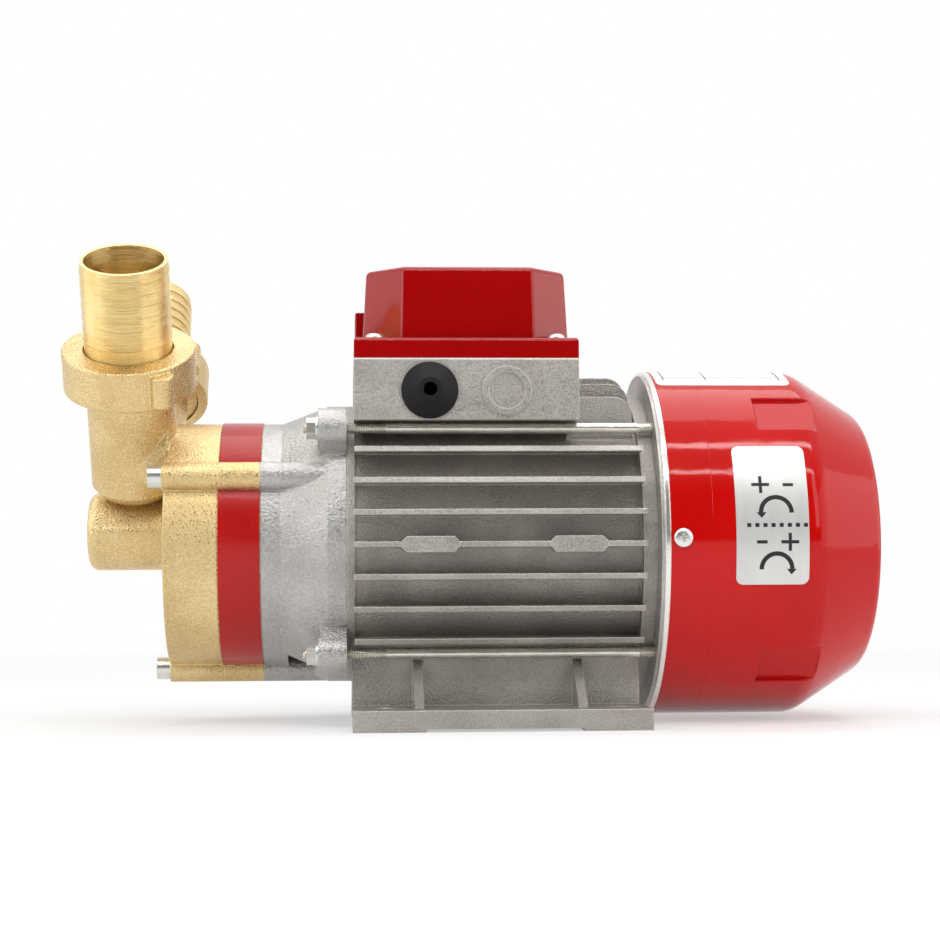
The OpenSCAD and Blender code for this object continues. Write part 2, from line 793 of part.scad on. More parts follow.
module box_tray() {
  difference() {
    block([x_box0, -y_box, z_box0], [x_box1, y_box, z_box1]);
    difference() {
      block([x_box0 + box_wall, box_wall - y_box, z_box0 + box_wall],
        [x_box1 - box_wall, y_box - box_wall, z_box1 + over]);
      xcyl(x_frame0, x_frame1, shell_r);
      pillars(z_box0, z_box1, pillar_r);
      block([block_x0, -pad_y, z_box0], [block_x0 + block_len, pad_y, z_pad1]);
      for (x = cradle_xs)
        block([x, cap_y - cradle_w / 2, z_box0], [x + cradle_t, cap_y + cradle_w / 2, z_box1]);
    }
  }
}
// A rod square to the near side wall of the box: from y0 behind the wall's face to y1 before it.
module wall_rod(x, y0, y1, r0, r1) {
  translate([x_box0 + x, -y_box - y0, z_box0 + entry_z]) rotate([90, 0, 0])
    cylinder(h = y1 - y0, r1 = r0, r2 = r1);
}
module motor_frame() {
  color(alu) difference() {
    union() {
      xcyl(x_frame0, x_frame1, shell_r);
      xcyl(x_frame0, x_frame0 + front_ring_len, front_ring_r);
      xcyl(x_frame1 - rear_ring_len, x_frame1, rear_ring_r);
      side_fins();
      for (k = [-top_fin_side_n:top_fin_side_n]) top_fin(k);
      for (s = [-1, 1], x = pad_places) fin_pad(x, s);
      for (s = [-1, 1]) foot(s);
      box_tray();
      wall_rod(knock_x, -over, knock_proud, knock_r, knock_r);
    }
    xcyl(x_frame0 - over, x_frame1 + over, bore_r);
    wall_rod(knock_x, 0, knock_proud + over, knock_in_r, knock_in_r);
    wall_rod(entry_x, -box_wall - over, over, entry_r, entry_r);
    translate([x_leads, 0, shaft_h]) cylinder(h = shell_r + over, r = wire_hole_r);
    pillars(z_box1 - cover_screw_depth - over, z_box1 + over, cover_screw_r + fit_gap);
    translate([0, cap_y, z_cap]) rotate([0, 90, 0])
      cylinder(h = 2 * box_len, r = cap_r + fit_gap, center = true);
    translate([earth_x, earth_y, z_box0 + box_wall - earth_len])
      cylinder(h = box_h, r = earth_r + fit_gap);
  }
}

// Rear end shield
module at_cowl_screws() {
  for (a = cowl_screw_angles) on_shaft() rotate([a, 0, 0])
    translate([x_rim1 + cowl_screw_x, 0, 0]) children();
}
module rear_shield() {
  color(alu) difference() {
    union() {
      xcyl(x_frame1, x_rim1, shield_r);
      xcyl(x_rim1 - rim_t, x_rim1, cowl_r);
      xring(x_frame1 - front_ring_len, x_frame1 + over, bore_r - fit_gap, recess_r);
      xcyl(x_frame1, x_hub4, housing_r);
      tie_cyls(x_frame1, x_rim1 + rod_boss_len, rod_boss_r);
      intersection() {
        xcyl(x_frame1, x_rim1 + lug_pad_len, cowl_in_r - fit_gap);
        at_cowl_screws() translate([-cowl_screw_x - over, cowl_in_r - lug_pad_t, -lug_pad_w / 2])
          cube([lug_pad_len + over, lug_pad_t, lug_pad_w]);
      }
    }
    xcyl(x_frame1 - over, x_hub3, brg_out_r + fit_gap);
    xcyl(x_hub3 - over, x_hub4 + over, lip_hole_r);
    tie_cyls(x_frame1 - over, x_frame1 + rod_grip + over, tie_r + fit_gap);
    at_cowl_screws() translate([0, cowl_in_r - cowl_screw_len, 0]) rotate([-90, 0, 0])
      cylinder(h = 2 * cowl_screw_len, r = cowl_screw_r + fit_gap);
  }
}

// Pump bracket
module pump_bracket() {
  color(alu) difference() {
    union() {
      difference() {
        union() {
          xcyl(x_ring1, x_flange1, pump_r);
          xcone(x_flange1, x_bring0, pump_r, bracket_ring_r);
          xcyl(x_bring0, x_frame0, bracket_ring_r);
          lug_rods(x_ring1, x_bring0, lug_r);
          tie_cyls(x_ear0, x_frame0, ear_r);
          for (p = tie_places) on_shaft() rotate([atan2(p[1], p[0]), 0, 0])
            translate([x_ear0 + ear_web_set, recess_r + 2 * over, -ear_r])
              cube([ear_len - ear_web_set, tie_off * sqrt(2) - recess_r - over, 2 * ear_r]);
        }
        difference() {
          xcyl(x_wall1, x_brg1, lantern_r);
          xcyl(x_hub0, x_frame0, housing_r);
        }
        difference() {
          xcyl(x_brg1 + bracket_web, x_frame0 + over, recess_r);
          xcyl(x_hub0, x_frame0, housing_r);
        }
        difference() {
          translate([x_wall1, -drip_w / 2, shaft_h - pump_r - lug_r])
            cube([drip_len, drip_w, drip_h + lug_r]);
          lug_rods(x_ring1, x_bring0, lug_r);
        }
      }
      xring(x_frame0 - over, x_frame0 + front_ring_len, bore_r - fit_gap, recess_r);
    }
    xcyl(x_brg1, x_frame0 + over, brg_out_r + fit_gap);
    xcyl(x_hub0 - over, x_brg1 + over, lip_hole_r);
    xcyl(x_ring1 - over, x_wall1, seal_seat_r + fit_gap);
    xcyl(x_wall1 - over, x_wall1 + over, shaft_seal_r + 2 * over);
    lug_rods(x_ring1 - over, x_face + bolt_len + bolt_spare, bolt_r + fit_gap);
    tie_cyls(x_ear0 - over, x_frame0 + over, tie_r + bolt_gap);
  }
}

// Casing ring
module casing_ring() {
  color(brass) difference() {
    union() {
      xcyl(x_ring0, x_ring1, pump_r);
      lug_rods(x_ring0, x_ring1, lug_r);
    }
    xcyl(x_ring0 - over, x_chamber1, chamber_r);
    xcyl(x_chamber1 - over, x_ring1 + over, seal_seat_r);
    lug_rods(x_ring0 - over, x_ring1 + over, bolt_r + bolt_gap);
    xring(x_ring0 - over, x_ring0 + 2 * oring_cs, oring_r + oring_cs + fit_gap,
      oring_r - oring_cs - fit_gap);
  }
}
module red_band() {
  color(red) difference() {
    xring(x_ring0 + face_gap, x_ring1 - face_gap, pump_r + band_t, pump_r + fit_gap);
    lug_rods(x_ring0 - over, x_ring1 + over, lug_r + bolt_gap);
  }
}
module casing_oring() {
  color(black) on_shaft() translate([x_ring0 + oring_cs, 0, 0]) rotate([0, 90, 0])
    rotate_extrude() translate([oring_r, 0]) circle(r = oring_cs, $fn = 32);
}

// Front pump cover
module port_solid(side) {
  on_port(side) {
    translate([0, 0, elbow_t]) cylinder(h = port_len - elbow_t, r = port_r);
    translate([0, 0, port_len - thread_len]) cylinder(h = thread_len, r = thread_r);
  }
  // The level leg runs from the elbow into the cover, and the elbow's outer corner is round.
  xrod(x_port, x_cover0 + over, port_r, -side * elbow_y, elbow_z);
  on_port(side) intersection() {
    translate([0, 0, elbow_t - elbow_drop]) cylinder(h = 2 * elbow_drop, r = port_r);
    translate([0, 0, elbow_t]) sphere(r = elbow_round_r);
  }
}
module port_bores(side) {
  on_port(side) translate([0, 0, elbow_in]) cylinder(h = port_len, r = port_bore_r);
  xrod(x_port - passage_back, x_ring0 + over, passage_r, -side * passage_y, passage_z);
}
// The boss has a round edge at its free end.
module boss() {
  len = boss_len + cover_len;
  on_shaft() translate([x_cover0 - boss_len, 0, boss_z]) rotate([0, 90, 0])
    rotate_extrude() union() {
      square([boss_r - boss_edge, len]);
      translate([0, boss_edge]) square([boss_r, len - boss_edge]);
      translate([boss_r - boss_edge, boss_edge]) intersection() {
        circle(r = boss_edge);
        translate([0, -boss_edge]) square(boss_edge);
      }
    }
  for (s = [-1, 1]) xrod(x_cover0 - boss_len + boss_edge, x_ring0, ridge_r,
    s * (boss_r - ridge_r + band_t), boss_z - band_t);
}
module pump_cover() {
  color(brass) difference() {
    union() {
      xcyl(x_cover0, x_ring0, pump_r);
      lug_rods(x_face, x_ring0, lug_r);
      for (s = [-1, 1]) port_solid(s);
      boss();
    }
    for (s = [-1, 1]) port_bores(s);
    xcyl(x_ring0 - nut_hollow_d, x_ring0 + over, nut_hollow_r);
    xrod(x_cover0 - boss_len + boss_wall, x_ring0 - nut_hollow_d + over, boss_r - boss_wall, 0, boss_z);
    lug_rods(x_face - over, x_ring0 + over, bolt_r + bolt_gap);
  }
}

// Pump bolts and tie rods
module pump_bolts() {
  color(zinc) difference() {
    union() {
      lug_rods(x_face - bolt_head_h, x_face, bolt_head_r);
      lug_rods(x_face - over, x_face + bolt_len, bolt_r);
    }
    at_lugs() translate([x_face - bolt_head_h - over, 0, 0]) rotate([0, 90, 0])
      cylinder(h = socket_depth + over, r = socket_half / cos(30), $fn = 6);
  }
}
module tie_rods() {
  color(zinc) tie_cyls(x_nut0 - rod_proud, x_frame1 + rod_grip, tie_r);
}
module tie_rod_nuts() {
  color(zinc) difference() {
    at_ties() translate([x_nut0, 0, 0]) rotate([0, 90, 0])
      cylinder(h = tie_nut_t, r = tie_nut_half / cos(30), $fn = 6);
    tie_cyls(x_nut0 - over, x_ear0, tie_r + fit_gap);
  }
}
module tie_rod_washers() {
  color(zinc) difference() {
    tie_cyls(x_ear0 - washer_t, x_ear0, washer_r);
    tie_cyls(x_nut0, x_ear0 + over, tie_r + bolt_gap);
  }
}

// Shaft, rotor and stator
module key_slot(z0, z1, gap) {
  on_shaft() translate([x_imp0 + 2 * over - gap, -key_w / 2 - gap, z0])
    cube([x_imp1 - x_imp0 - 4 * over + 2 * gap, key_w + 2 * gap, z1 - z0]);
}
module motor_shaft() {
  color(steel) difference() {
    union() {
      xcyl(x_shaft0, x_imp0 + over, shaft_nut_r);
      xcyl(x_imp0, x_imp1, shaft_imp_r);
      xcyl(x_imp1, x_hub0, shaft_seal_r);
      xcyl(x_hub0, x_frame0, brg_in_r);
      xcyl(x_frame0, x_brg2, shaft_core_r);
      xcyl(x_brg2, x_hub3, brg_in_r);
      xcyl(x_hub3, x_shaft1, shaft_fan_r);
    }
    key_slot(shaft_imp_r - key_w / 2, shaft_core_r, fit_gap);
    xring(x_fan1, x_fan1 + clip_t, shaft_core_r, shaft_fan_r - clip_depth);
  }
}
module rotor_core() {
  color(steel) difference() {
    xring(x_core0, x_core1, rotor_r, shaft_core_r + fit_gap);
    for (i = [0:bar_n - 1]) on_shaft() rotate([i * 360 / bar_n, 0, 0])
      translate([x_core0 - over, bar_place_r, 0]) rotate([0, 90, 0])
        cylinder(h = core_len + 2 * over, r = bar_r + fit_gap, $fn = 48);
  }
}
module rotor_cage() {
  color(alu) union() {
    xring(x_core0 - end_ring_len, x_core0, end_ring_r, end_ring_in_r);
    xring(x_core1, x_core1 + end_ring_len, end_ring_r, end_ring_in_r);
    for (i = [0:bar_n - 1]) on_shaft() rotate([i * 360 / bar_n, 0, 0])
      translate([x_core0 - over, bar_place_r, 0]) rotate([0, 90, 0])
        cylinder(h = core_len + 2 * over, r = bar_r, $fn = 48);
  }
}
module slots(w, r0, r1, extra) {
  for (i = [0:slot_n - 1]) on_shaft() rotate([i * 360 / slot_n, 0, 0])
    translate([x_core0 - extra, r0, -w / 2]) cube([core_len + 2 * extra, r1 - r0, w]);
}
module stator_core() {
  color(steel) difference() {
    xring(x_core0, x_core1, bore_r - fit_gap, stator_in_r);
    slots(slot_w, slot_r0, slot_r1, over);
  }
}
module stator_windings() {
  color([0.62, 0.30, 0.14]) union() {
    slots(slot_w - 2 * slot_gap, slot_r0 + slot_gap, slot_r1 - slot_gap, over);
    xring(x_core0 - winding_len, x_core0 - face_gap, winding_r, slot_r0 + slot_gap);
    xring(x_core1 + face_gap, x_core1 + winding_len, winding_r, slot_r0 + slot_gap);
  }
}
// An insulated lead through the points p, with round corners.
module lead(p) {
  for (i = [0:len(p) - 2]) {
    d = p[i + 1] - p[i];
    translate(p[i]) rotate([0, acos(d[2] / norm(d)), atan2(d[1], d[0])])
      cylinder(h = norm(d), r = lead_r, $fn = 24);
  }
  for (i = [1:len(p) - 2]) translate(p[i]) sphere(r = lead_r + lead_knee, $fn = 24);
}
module motor_leads() {
  z0 = shaft_h + winding_r;
  z1 = z_pad1 + lead_top;
  color([0.55, 0.10, 0.08]) for (y = [-lead_step, 0, lead_step])
    lead([[x_leads, y, z0], [x_leads, y, z1], [block_x0, y, z1]]);
}
module switch_leads() {
  color([0.10, 0.18, 0.50]) for (s = [-1, 1])
    lead([[x_switch1, s * stud_y, z_switch], [stud_xs[0], s * stud_y, z_switch],
      [stud_xs[0], s * stud_y, z_block1 + stud_h]]);
}
module capacitor_leads() {
  x1 = stud_xs[2];
  z1 = z_block1 + stud_h;
  color([0.75, 0.74, 0.72]) for (s = [0, 1]) {
    x = cap_x1 + (1 + s) * lead_step;
    y = (2 * s - 1) * stud_y;
    z = z_cap + s * lead_step;
    lead([[cap_x1, cap_y, z], [x, cap_y, z], [x, y, z], [x1, y, z], [x1, y, z1]]);
  }
}

// Bearings
module race_torus(x) {
  on_shaft() translate([x + brg_w / 2, 0, 0]) rotate([0, 90, 0])
    rotate_extrude() translate([pitch_r, 0]) circle(r = groove_r, $fn = 48);
}
module bearing_outer(x) {
  color(steel) difference() {
    xring(x, x + brg_w, brg_out_r, pitch_r + race_half);
    race_torus(x);
  }
}
module bearing_inner(x) {
  color(steel) difference() {
    xring(x, x + brg_w, pitch_r - race_half, brg_in_r + fit_gap);
    race_torus(x);
  }
}
module bearing_balls(x, r) {
  for (i = [0:ball_n - 1]) on_shaft() rotate([i * 360 / ball_n, 0, 0])
    translate([x + brg_w / 2, pitch_r, 0]) sphere(r = r, $fn = 64);
}
module bearing_cage(x) {
  color(brass) difference() {
    xring(x + (brg_w - cage_w) / 2, x + (brg_w + cage_w) / 2, pitch_r + cage_half, pitch_r - cage_half);
    for (i = [0:ball_n - 1]) on_shaft() rotate([i * 360 / ball_n, 0, 0])
      translate([x + brg_w / 2, 0, 0]) rotate([-90, 0, 0]) cylinder(h = brg_out_r, r = groove_r);
  }
}
module wave_washer() {
  color(steel) xring(x_brg2 + brg_w, x_hub3, brg_out_r - fit_gap, lip_hole_r);
}

// Cooling fan
module cooling_fan() {
  color(black) difference() {
    union() {
      xcyl(x_fan0, x_fan1, fan_hub_r);
      xcyl(x_fan0, x_fan0 + fan_disc_t, fan_r);
      for (i = [0:blade_n - 1]) on_shaft() rotate([i * 360 / blade_n, 0, 0])
        translate([x_fan0, fan_hub_r - blade_t, -blade_t / 2])
          cube([fan_len, fan_r - fan_hub_r, blade_t]);
    }
    xcyl(x_fan0 - over, x_fan1 + over, shaft_fan_r + fit_gap);
  }
}
module fan_clip() {
  color(steel) difference() {
    xring(x_fan1 + fit_gap, x_fan1 + clip_t - fit_gap, clip_r, shaft_fan_r - clip_depth + fit_gap);
    on_shaft() translate([x_fan1 - over, -shaft_fan_r / 3, -2 * clip_r])
      cube([clip_t + 2 * over, 2 * shaft_fan_r / 3, 2 * clip_r]);
  }
}

// Impeller and shaft seal
module impeller() {
  color(brass) difference() {
    union() {
      xcyl(x_imp0, x_imp1, imp_hub_r);
      intersection() {
        xcyl(x_imp0, x_imp1, imp_r);
        for (i = [0:vane_n - 1]) on_shaft() rotate([i * 360 / vane_n, 0, 0])
          translate([x_imp0, imp_hub_r - vane_t, -vane_t / 2])
            cube([x_imp1 - x_imp0, imp_r, vane_t]);
      }
    }
    xcyl(x_imp0 - over, x_imp1 + over, shaft_imp_r + fit_gap);
    key_slot(0, shaft_imp_r + key_w / 2 + fit_gap, fit_gap);
  }
}
module impeller_key() {
  color(steel) key_slot(shaft_imp_r - key_w / 2 + fit_gap, shaft_imp_r + key_w / 2, 0);
}
module impeller_nut() {
  color(zinc) difference() {
    xhex(x_imp0 - imp_nut_t, x_imp0, imp_nut_half, 0, 0);
    xcyl(x_imp0 - imp_nut_t - over, x_imp0 + over, shaft_nut_r + fit_gap);
  }
}
module seal_head() {
  color(steel) xring(x_imp1, x_seat0 - face_gap, seal_head_r, shaft_seal_r + fit_gap);
}
module seal_seat() {
  color([0.85, 0.84, 0.80]) xring(x_seat0, x_wall1, seal_seat_r, shaft_seal_r + over);
}
module slinger() {
  color(black) xring(x_wall1 + over, x_wall1 + over + slinger_t, slinger_r, shaft_seal_r + fit_gap);
}

// Fan cover
module cowl_shape(d) {
  xcyl(x_rim1, x_cone0, cowl_r - d);
  xcone(x_cone0, x_cone1, cowl_r - d, cone_r - d);
  xcone(x_cone1, x_end - d, cone_r - d, end_r - d);
}
// Blocks at the four grips: w wide, from radius r0 to r1, longer by extra at both ends.
module grip_blocks(w, r0, r1, extra) {
  for (a = grip_angles) on_shaft() rotate([a, 0, 0])
    translate([x_grip0 - extra, r0, -w / 2]) cube([grip_len + 2 * extra, r1 - r0, w]);
}
module vents() {
  difference() {
    for (r = vent_radii) xring(x_end - 2 * cowl_wall, x_end + over, r + vent_w, r);
    for (a = [0, 45, 90, 135]) on_shaft() rotate([a, 0, 0])
      translate([x_end - 3 * cowl_wall, -cowl_r, -vent_web / 2])
        cube([4 * cowl_wall, 2 * cowl_r, vent_web]);
  }
}
module fan_cover() {
  color(red) difference() {
    cowl_shape(0);
    difference() {
      union() {
        cowl_shape(cowl_wall);
        xcyl(x_rim1 - over, x_rim1 + over, cowl_in_r);
      }
      grip_blocks(grip_w + 2 * grip_pad_side, cowl_in_r - grip_pad, cowl_r, grip_pad_side);
    }
    grip_blocks(grip_w, cowl_r - grip_d, cowl_r + over, 0);
    vents();
    at_cowl_screws() translate([0, cowl_in_r - over, 0]) rotate([-90, 0, 0])
      cylinder(h = 2 * cowl_wall, r = cowl_screw_r + bolt_gap);
  }
}
module fan_cover_screws() {
  color(zinc) at_cowl_screws() {
    translate([0, cowl_r, 0]) rotate([-90, 0, 0]) cylinder(h = cowl_head_h, r = cowl_head_r);
    translate([0, cowl_in_r + over - cowl_screw_len, 0]) rotate([-90, 0, 0])
      cylinder(h = cowl_wall + cowl_screw_len, r = cowl_screw_r);
  }
}

// Box cover, gasket and screws
// The hood is the space inside eight sloping faces, from z0 to z1, with d taken off each face.
module hood_block(d, z0, z1) {
  big = 2 * box_len;
  intersection() {
    intersection_for(f = hood_faces)
      translate([x_box_mid, 0, z_cov1]) rotate([0, 0, f[0]]) translate([f[1] - d, 0, 0])
        rotate([0, -hood_draft, 0]) translate([-big, -big, -big]) cube([big, 2 * big, 2 * big]);
    block([x_box0, -y_box, z0], [x_box1, y_box, z1]);
  }
}
module box_cover() {
  color(red) difference() {
    union() {
      block([x_box0, -y_box, z_cov0], [x_box1, y_box, z_cov1]);
      hood_block(0, z_cov1 - over, z_hood1);
      block([x_surround, -surround_w / 2, z_cov1 - over],
        [x_hood_face + cover_wall, surround_w / 2, z_cov1 + surround_h]);
    }
    difference() {
      hood_block(cover_wall, z_cov0 - over, z_hood1 - cover_wall);
      pillars(z_cov0 - over, z_cov1, pillar_r);
    }
    block([x_surround - over, -switch_w / 2 - fit_gap, z_switch - switch_h / 2 - fit_gap],
      [x_switch1, switch_w / 2 + fit_gap, z_switch + switch_h / 2 + fit_gap]);
    pillars(z_cov0 - over, z_cov1 + over, cover_screw_r + bolt_gap);
  }
}
module box_gasket() {
  color([0.9, 0.9, 0.88]) difference() {
    block([x_box0, -y_box, z_box1], [x_box1, y_box, z_cov0]);
    difference() {
      block([x_box0 + box_wall, box_wall - y_box, z_box1 - over],
        [x_box1 - box_wall, y_box - box_wall, z_cov0 + over]);
      pillars(z_box0, z_cov1, pillar_r);
    }
    pillars(z_box1 - over, z_cov0 + over, cover_screw_r + bolt_gap);
  }
}
module box_cover_screws() {
  color(zinc) {
    pillars(z_cov1, z_cov1 + cover_head_h, cover_head_r);
    pillars(z_box1 - cover_screw_depth, z_cov1 + over, cover_screw_r);
  }
}

// Cable grommet
module cable_grommet() {
  color(black) difference() {
    union() {
      wall_rod(entry_x, 0, over, grommet_r, grommet_r);
      wall_rod(entry_x, over, grommet_out, grommet_r, grommet_tip_r);
      wall_rod(entry_x, -box_wall - over, over, entry_r - fit_gap, entry_r - fit_gap);
      wall_rod(entry_x, -box_wall - 2 * over, -box_wall - fit_gap, entry_r + over, entry_r + over);
    }
    wall_rod(entry_x, -box_wall - 3 * over, grommet_out + over, cable_r, cable_r);
  }
}

// Terminal block, capacitor and earth screw
module terminal_block() {
  color(black) difference() {
    block([block_x0, -block_w / 2, z_pad1], [block_x0 + block_len, block_w / 2, z_block1]);
    for (x = stud_xs, s = [-1, 1]) translate([x, s * stud_y, z_block1 - stud_sink])
      cylinder(h = block_h, r = stud_r + fit_gap);
  }
}
module terminal_studs() {
  color(brass) for (x = stud_xs, s = [-1, 1]) translate([x, s * stud_y, z_block1]) {
    translate([0, 0, -stud_sink]) cylinder(h = stud_sink + stud_h, r = stud_r, $fn = 48);
    cylinder(h = stud_nut_t, r = 2 * stud_r, $fn = 6);
  }
}
module capacitor() {
  color([0.85, 0.85, 0.83]) translate([cap_x0, cap_y, z_cap]) rotate([0, 90, 0])
    cylinder(h = cap_len, r = cap_r);
}
module earth_screw() {
  color(brass) translate([earth_x, earth_y, z_box0 + box_wall]) {
    cylinder(h = earth_head_h, r = earth_head_r, $fn = 48);
    translate([0, 0, -earth_len]) cylinder(h = earth_len + over, r = earth_r, $fn = 48);
  }
}

// Reversing switch
module switch_body() {
  color(black) difference() {
    block([x_switch0, -switch_w / 2, z_switch - switch_h / 2],
      [x_switch1, switch_w / 2, z_switch + switch_h / 2]);
    translate([x_pivot, 0, z_switch])
      cylinder(h = rocker_h + 2 * rocker_gap, r = rocker_r + rocker_gap, center = true);
    translate([x_pivot, 0, z_switch])
      cylinder(h = switch_h + 2 * over, r = rocker_pin_r + run_gap, center = true, $fn = 48);
  }
}
module switch_rocker() {
  color(black) translate([x_pivot, 0, z_switch]) {
    intersection() {
      cylinder(h = rocker_h, r = rocker_r, center = true);
      intersection_for(s = [-1, 1]) rotate([0, 0, s * rocker_slope])
        translate([-rocker_set * cos(rocker_slope), -2 * rocker_r, -rocker_h])
          cube([4 * rocker_r, 4 * rocker_r, 2 * rocker_h]);
    }
    cylinder(h = switch_h - 2 * face_gap, r = rocker_pin_r, center = true, $fn = 48);
  }
}

// Hose unions
module port_gasket(side) {
  color(black) on_port(side) translate([0, 0, port_len]) difference() {
    cylinder(h = gasket_t, r = tail_collar_r);
    translate([0, 0, -over]) cylinder(h = gasket_t + 2 * over, r = port_bore_r);
  }
}
module hose_tail(side) {
  color(brass) on_port(side) difference() {
    union() {
      translate([0, 0, t_collar]) cylinder(h = tail_collar_t, r = tail_collar_r);
      translate([0, 0, t_collar])
        cylinder(h = t_tail - t_collar - barb_n * barb_pitch, r = tail_r - barb_h / 2);
      for (i = [1:barb_n]) translate([0, 0, t_tail - i * barb_pitch])
        cylinder(h = barb_pitch, r1 = tail_r, r2 = barb_root_r);
    }
    translate([0, 0, t_collar - over])
      cylinder(h = t_tail - t_collar + 2 * over, r = tail_bore_r);
  }
}
module ring_nut(side, lug_a) {
  color(brass) on_port(side) difference() {
    union() {
      translate([0, 0, t_nut0]) cylinder(h = nut_h, r = nut_r);
      for (a = [lug_a, lug_a + 180]) rotate([0, 0, a]) {
        translate([nut_r - nut_lip_t, -nut_lug_w / 2, t_lug0])
          cube([nut_lip_t + nut_lug_out - nut_lug_w / 4, nut_lug_w, nut_lug_h]);
        translate([nut_r + nut_lug_out - nut_lug_w / 2, 0, t_lug0])
          cylinder(h = nut_lug_h, r = nut_lug_w / 2);
      }
    }
    translate([0, 0, t_nut0 - over]) cylinder(h = t_lip - t_nut0 + over, r = thread_r + nut_clear);
    translate([0, 0, t_lip - over]) cylinder(h = nut_lip_t + 2 * over, r = tail_r + nut_clear);
  }
}

// Labels
// A patch on the fan cover from x0 to x1, w wide round it, with its middle a degrees from the top.
module cowl_patch(x0, x1, w, a) {
  a0 = (x1 - x0) / 2;
  b0 = cowl_r * sin(w / cowl_r * 90 / PI);
  c = label_corner;
  translate([0, 0, shaft_h]) rotate([a, 0, 0]) intersection() {
    translate([0, 0, -shaft_h]) xring(x0, x1, cowl_r + fit_gap + label_t, cowl_r + fit_gap);
    translate([x0 + a0, 0, 0])
      linear_extrude(height = 2 * cowl_r) union() {
        square([2 * (a0 - c), 2 * b0], center = true);
        square([2 * a0, 2 * (b0 - c)], center = true);
        for (s = [-1, 1], t = [-1, 1]) translate([s * (a0 - c), t * (b0 - c)]) circle(r = c, $fn = 32);
      }
  }
}
module rotation_label() {
  x0 = x_rim1 + rot_label_x;
  color([0.85, 0.86, 0.86])
    cowl_patch(x0, x0 + rot_label_len, rot_label_h, 90 - asin(rot_label_z / cowl_r));
}
module rating_plate() {
  x0 = x_rim1 + plate_x;
  color([0.93, 0.93, 0.92]) cowl_patch(x0, x0 + plate_len, plate_w, 0);
}

motor_frame();
rear_shield();
pump_bracket();
casing_ring();
pump_cover();
red_band();
casing_oring();
pump_bolts();
tie_rods();
tie_rod_nuts();
tie_rod_washers();
motor_shaft();
rotor_core();
rotor_cage();
stator_core();
stator_windings();
motor_leads();
switch_leads();
capacitor_leads();
bearing_outer(x_brg1);  // front_bearing_outer
bearing_inner(x_brg1);  // front_bearing_inner
color(steel) bearing_balls(x_brg1, ball_r);  // front_bearing_balls
bearing_cage(x_brg1);  // front_bearing_cage
bearing_outer(x_brg2);  // rear_bearing_outer
bearing_inner(x_brg2);  // rear_bearing_inner
color(steel) bearing_balls(x_brg2, ball_r);  // rear_bearing_balls
bearing_cage(x_brg2);  // rear_bearing_cage
wave_washer();
cooling_fan();
fan_clip();
impeller();
impeller_key();
impeller_nut();
seal_head();
seal_seat();
slinger();
fan_cover();
fan_cover_screws();
box_gasket();
box_cover();
box_cover_screws();
cable_grommet();
terminal_block();
terminal_studs();
capacitor();
earth_screw();
switch_body();
switch_rocker();
port_gasket(1);  // near_port_gasket
port_gasket(-1);  // far_port_gasket
hose_tail(1);  // near_hose_tail
hose_tail(-1);  // far_hose_tail
ring_nut(1, near_lug_a);  // near_ring_nut
ring_nut(-1, far_lug_a);  // far_ring_nut
rotation_label();
rating_plate();
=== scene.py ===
import math
import bmesh
import bpy
from mathutils import Matrix, Vector


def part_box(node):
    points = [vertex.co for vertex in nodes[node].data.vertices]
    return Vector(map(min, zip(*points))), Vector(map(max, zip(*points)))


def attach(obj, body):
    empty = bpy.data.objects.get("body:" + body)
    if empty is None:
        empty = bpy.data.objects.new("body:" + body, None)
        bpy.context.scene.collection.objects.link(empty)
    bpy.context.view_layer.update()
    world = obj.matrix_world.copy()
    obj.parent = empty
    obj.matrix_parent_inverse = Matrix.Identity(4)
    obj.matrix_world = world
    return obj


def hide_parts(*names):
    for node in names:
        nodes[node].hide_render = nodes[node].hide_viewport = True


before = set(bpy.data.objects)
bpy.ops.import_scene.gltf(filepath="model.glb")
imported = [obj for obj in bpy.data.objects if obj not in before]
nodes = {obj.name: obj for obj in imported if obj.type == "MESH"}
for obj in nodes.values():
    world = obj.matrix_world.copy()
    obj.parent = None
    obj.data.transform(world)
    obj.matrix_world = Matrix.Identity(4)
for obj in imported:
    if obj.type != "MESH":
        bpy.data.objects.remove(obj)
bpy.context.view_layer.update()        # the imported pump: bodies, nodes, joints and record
mm = 0.001


# ---- Where the pump is looked at from
# A long lens a little under a metre away, low beside the pump and turned slightly
# towards the fan end, so that both feet and the underside of the terminal box show.
yaw, pitch, roll = 0.06219, 0.06009, -0.0056
ahead = Vector((math.sin(yaw), math.cos(yaw), 0.0))
side = Vector((math.cos(yaw), -math.sin(yaw), 0.0))
gaze = ahead * math.cos(pitch) + Vector((0, 0, math.sin(pitch)))
lift = Vector((0, 0, math.cos(pitch))) - ahead * math.sin(pitch)
right = side * math.cos(roll) + lift * math.sin(roll)
up = lift * math.cos(roll) - side * math.sin(roll)
lens = bpy.data.cameras.new("long_lens")
lens.lens = 76.82
lens.sensor_width = 36
lens.clip_start = 0.05
lens.clip_end = 60
camera = bpy.data.objects.new("long_lens", lens)
bpy.context.scene.collection.objects.link(camera)
camera_spot = (-0.06630854, -0.9115515, 0.05832402)
turn = Matrix((right, up, -gaze)).transposed().to_4x4()
camera.matrix_world = Matrix.Translation(camera_spot) @ turn
bpy.context.scene.camera = camera


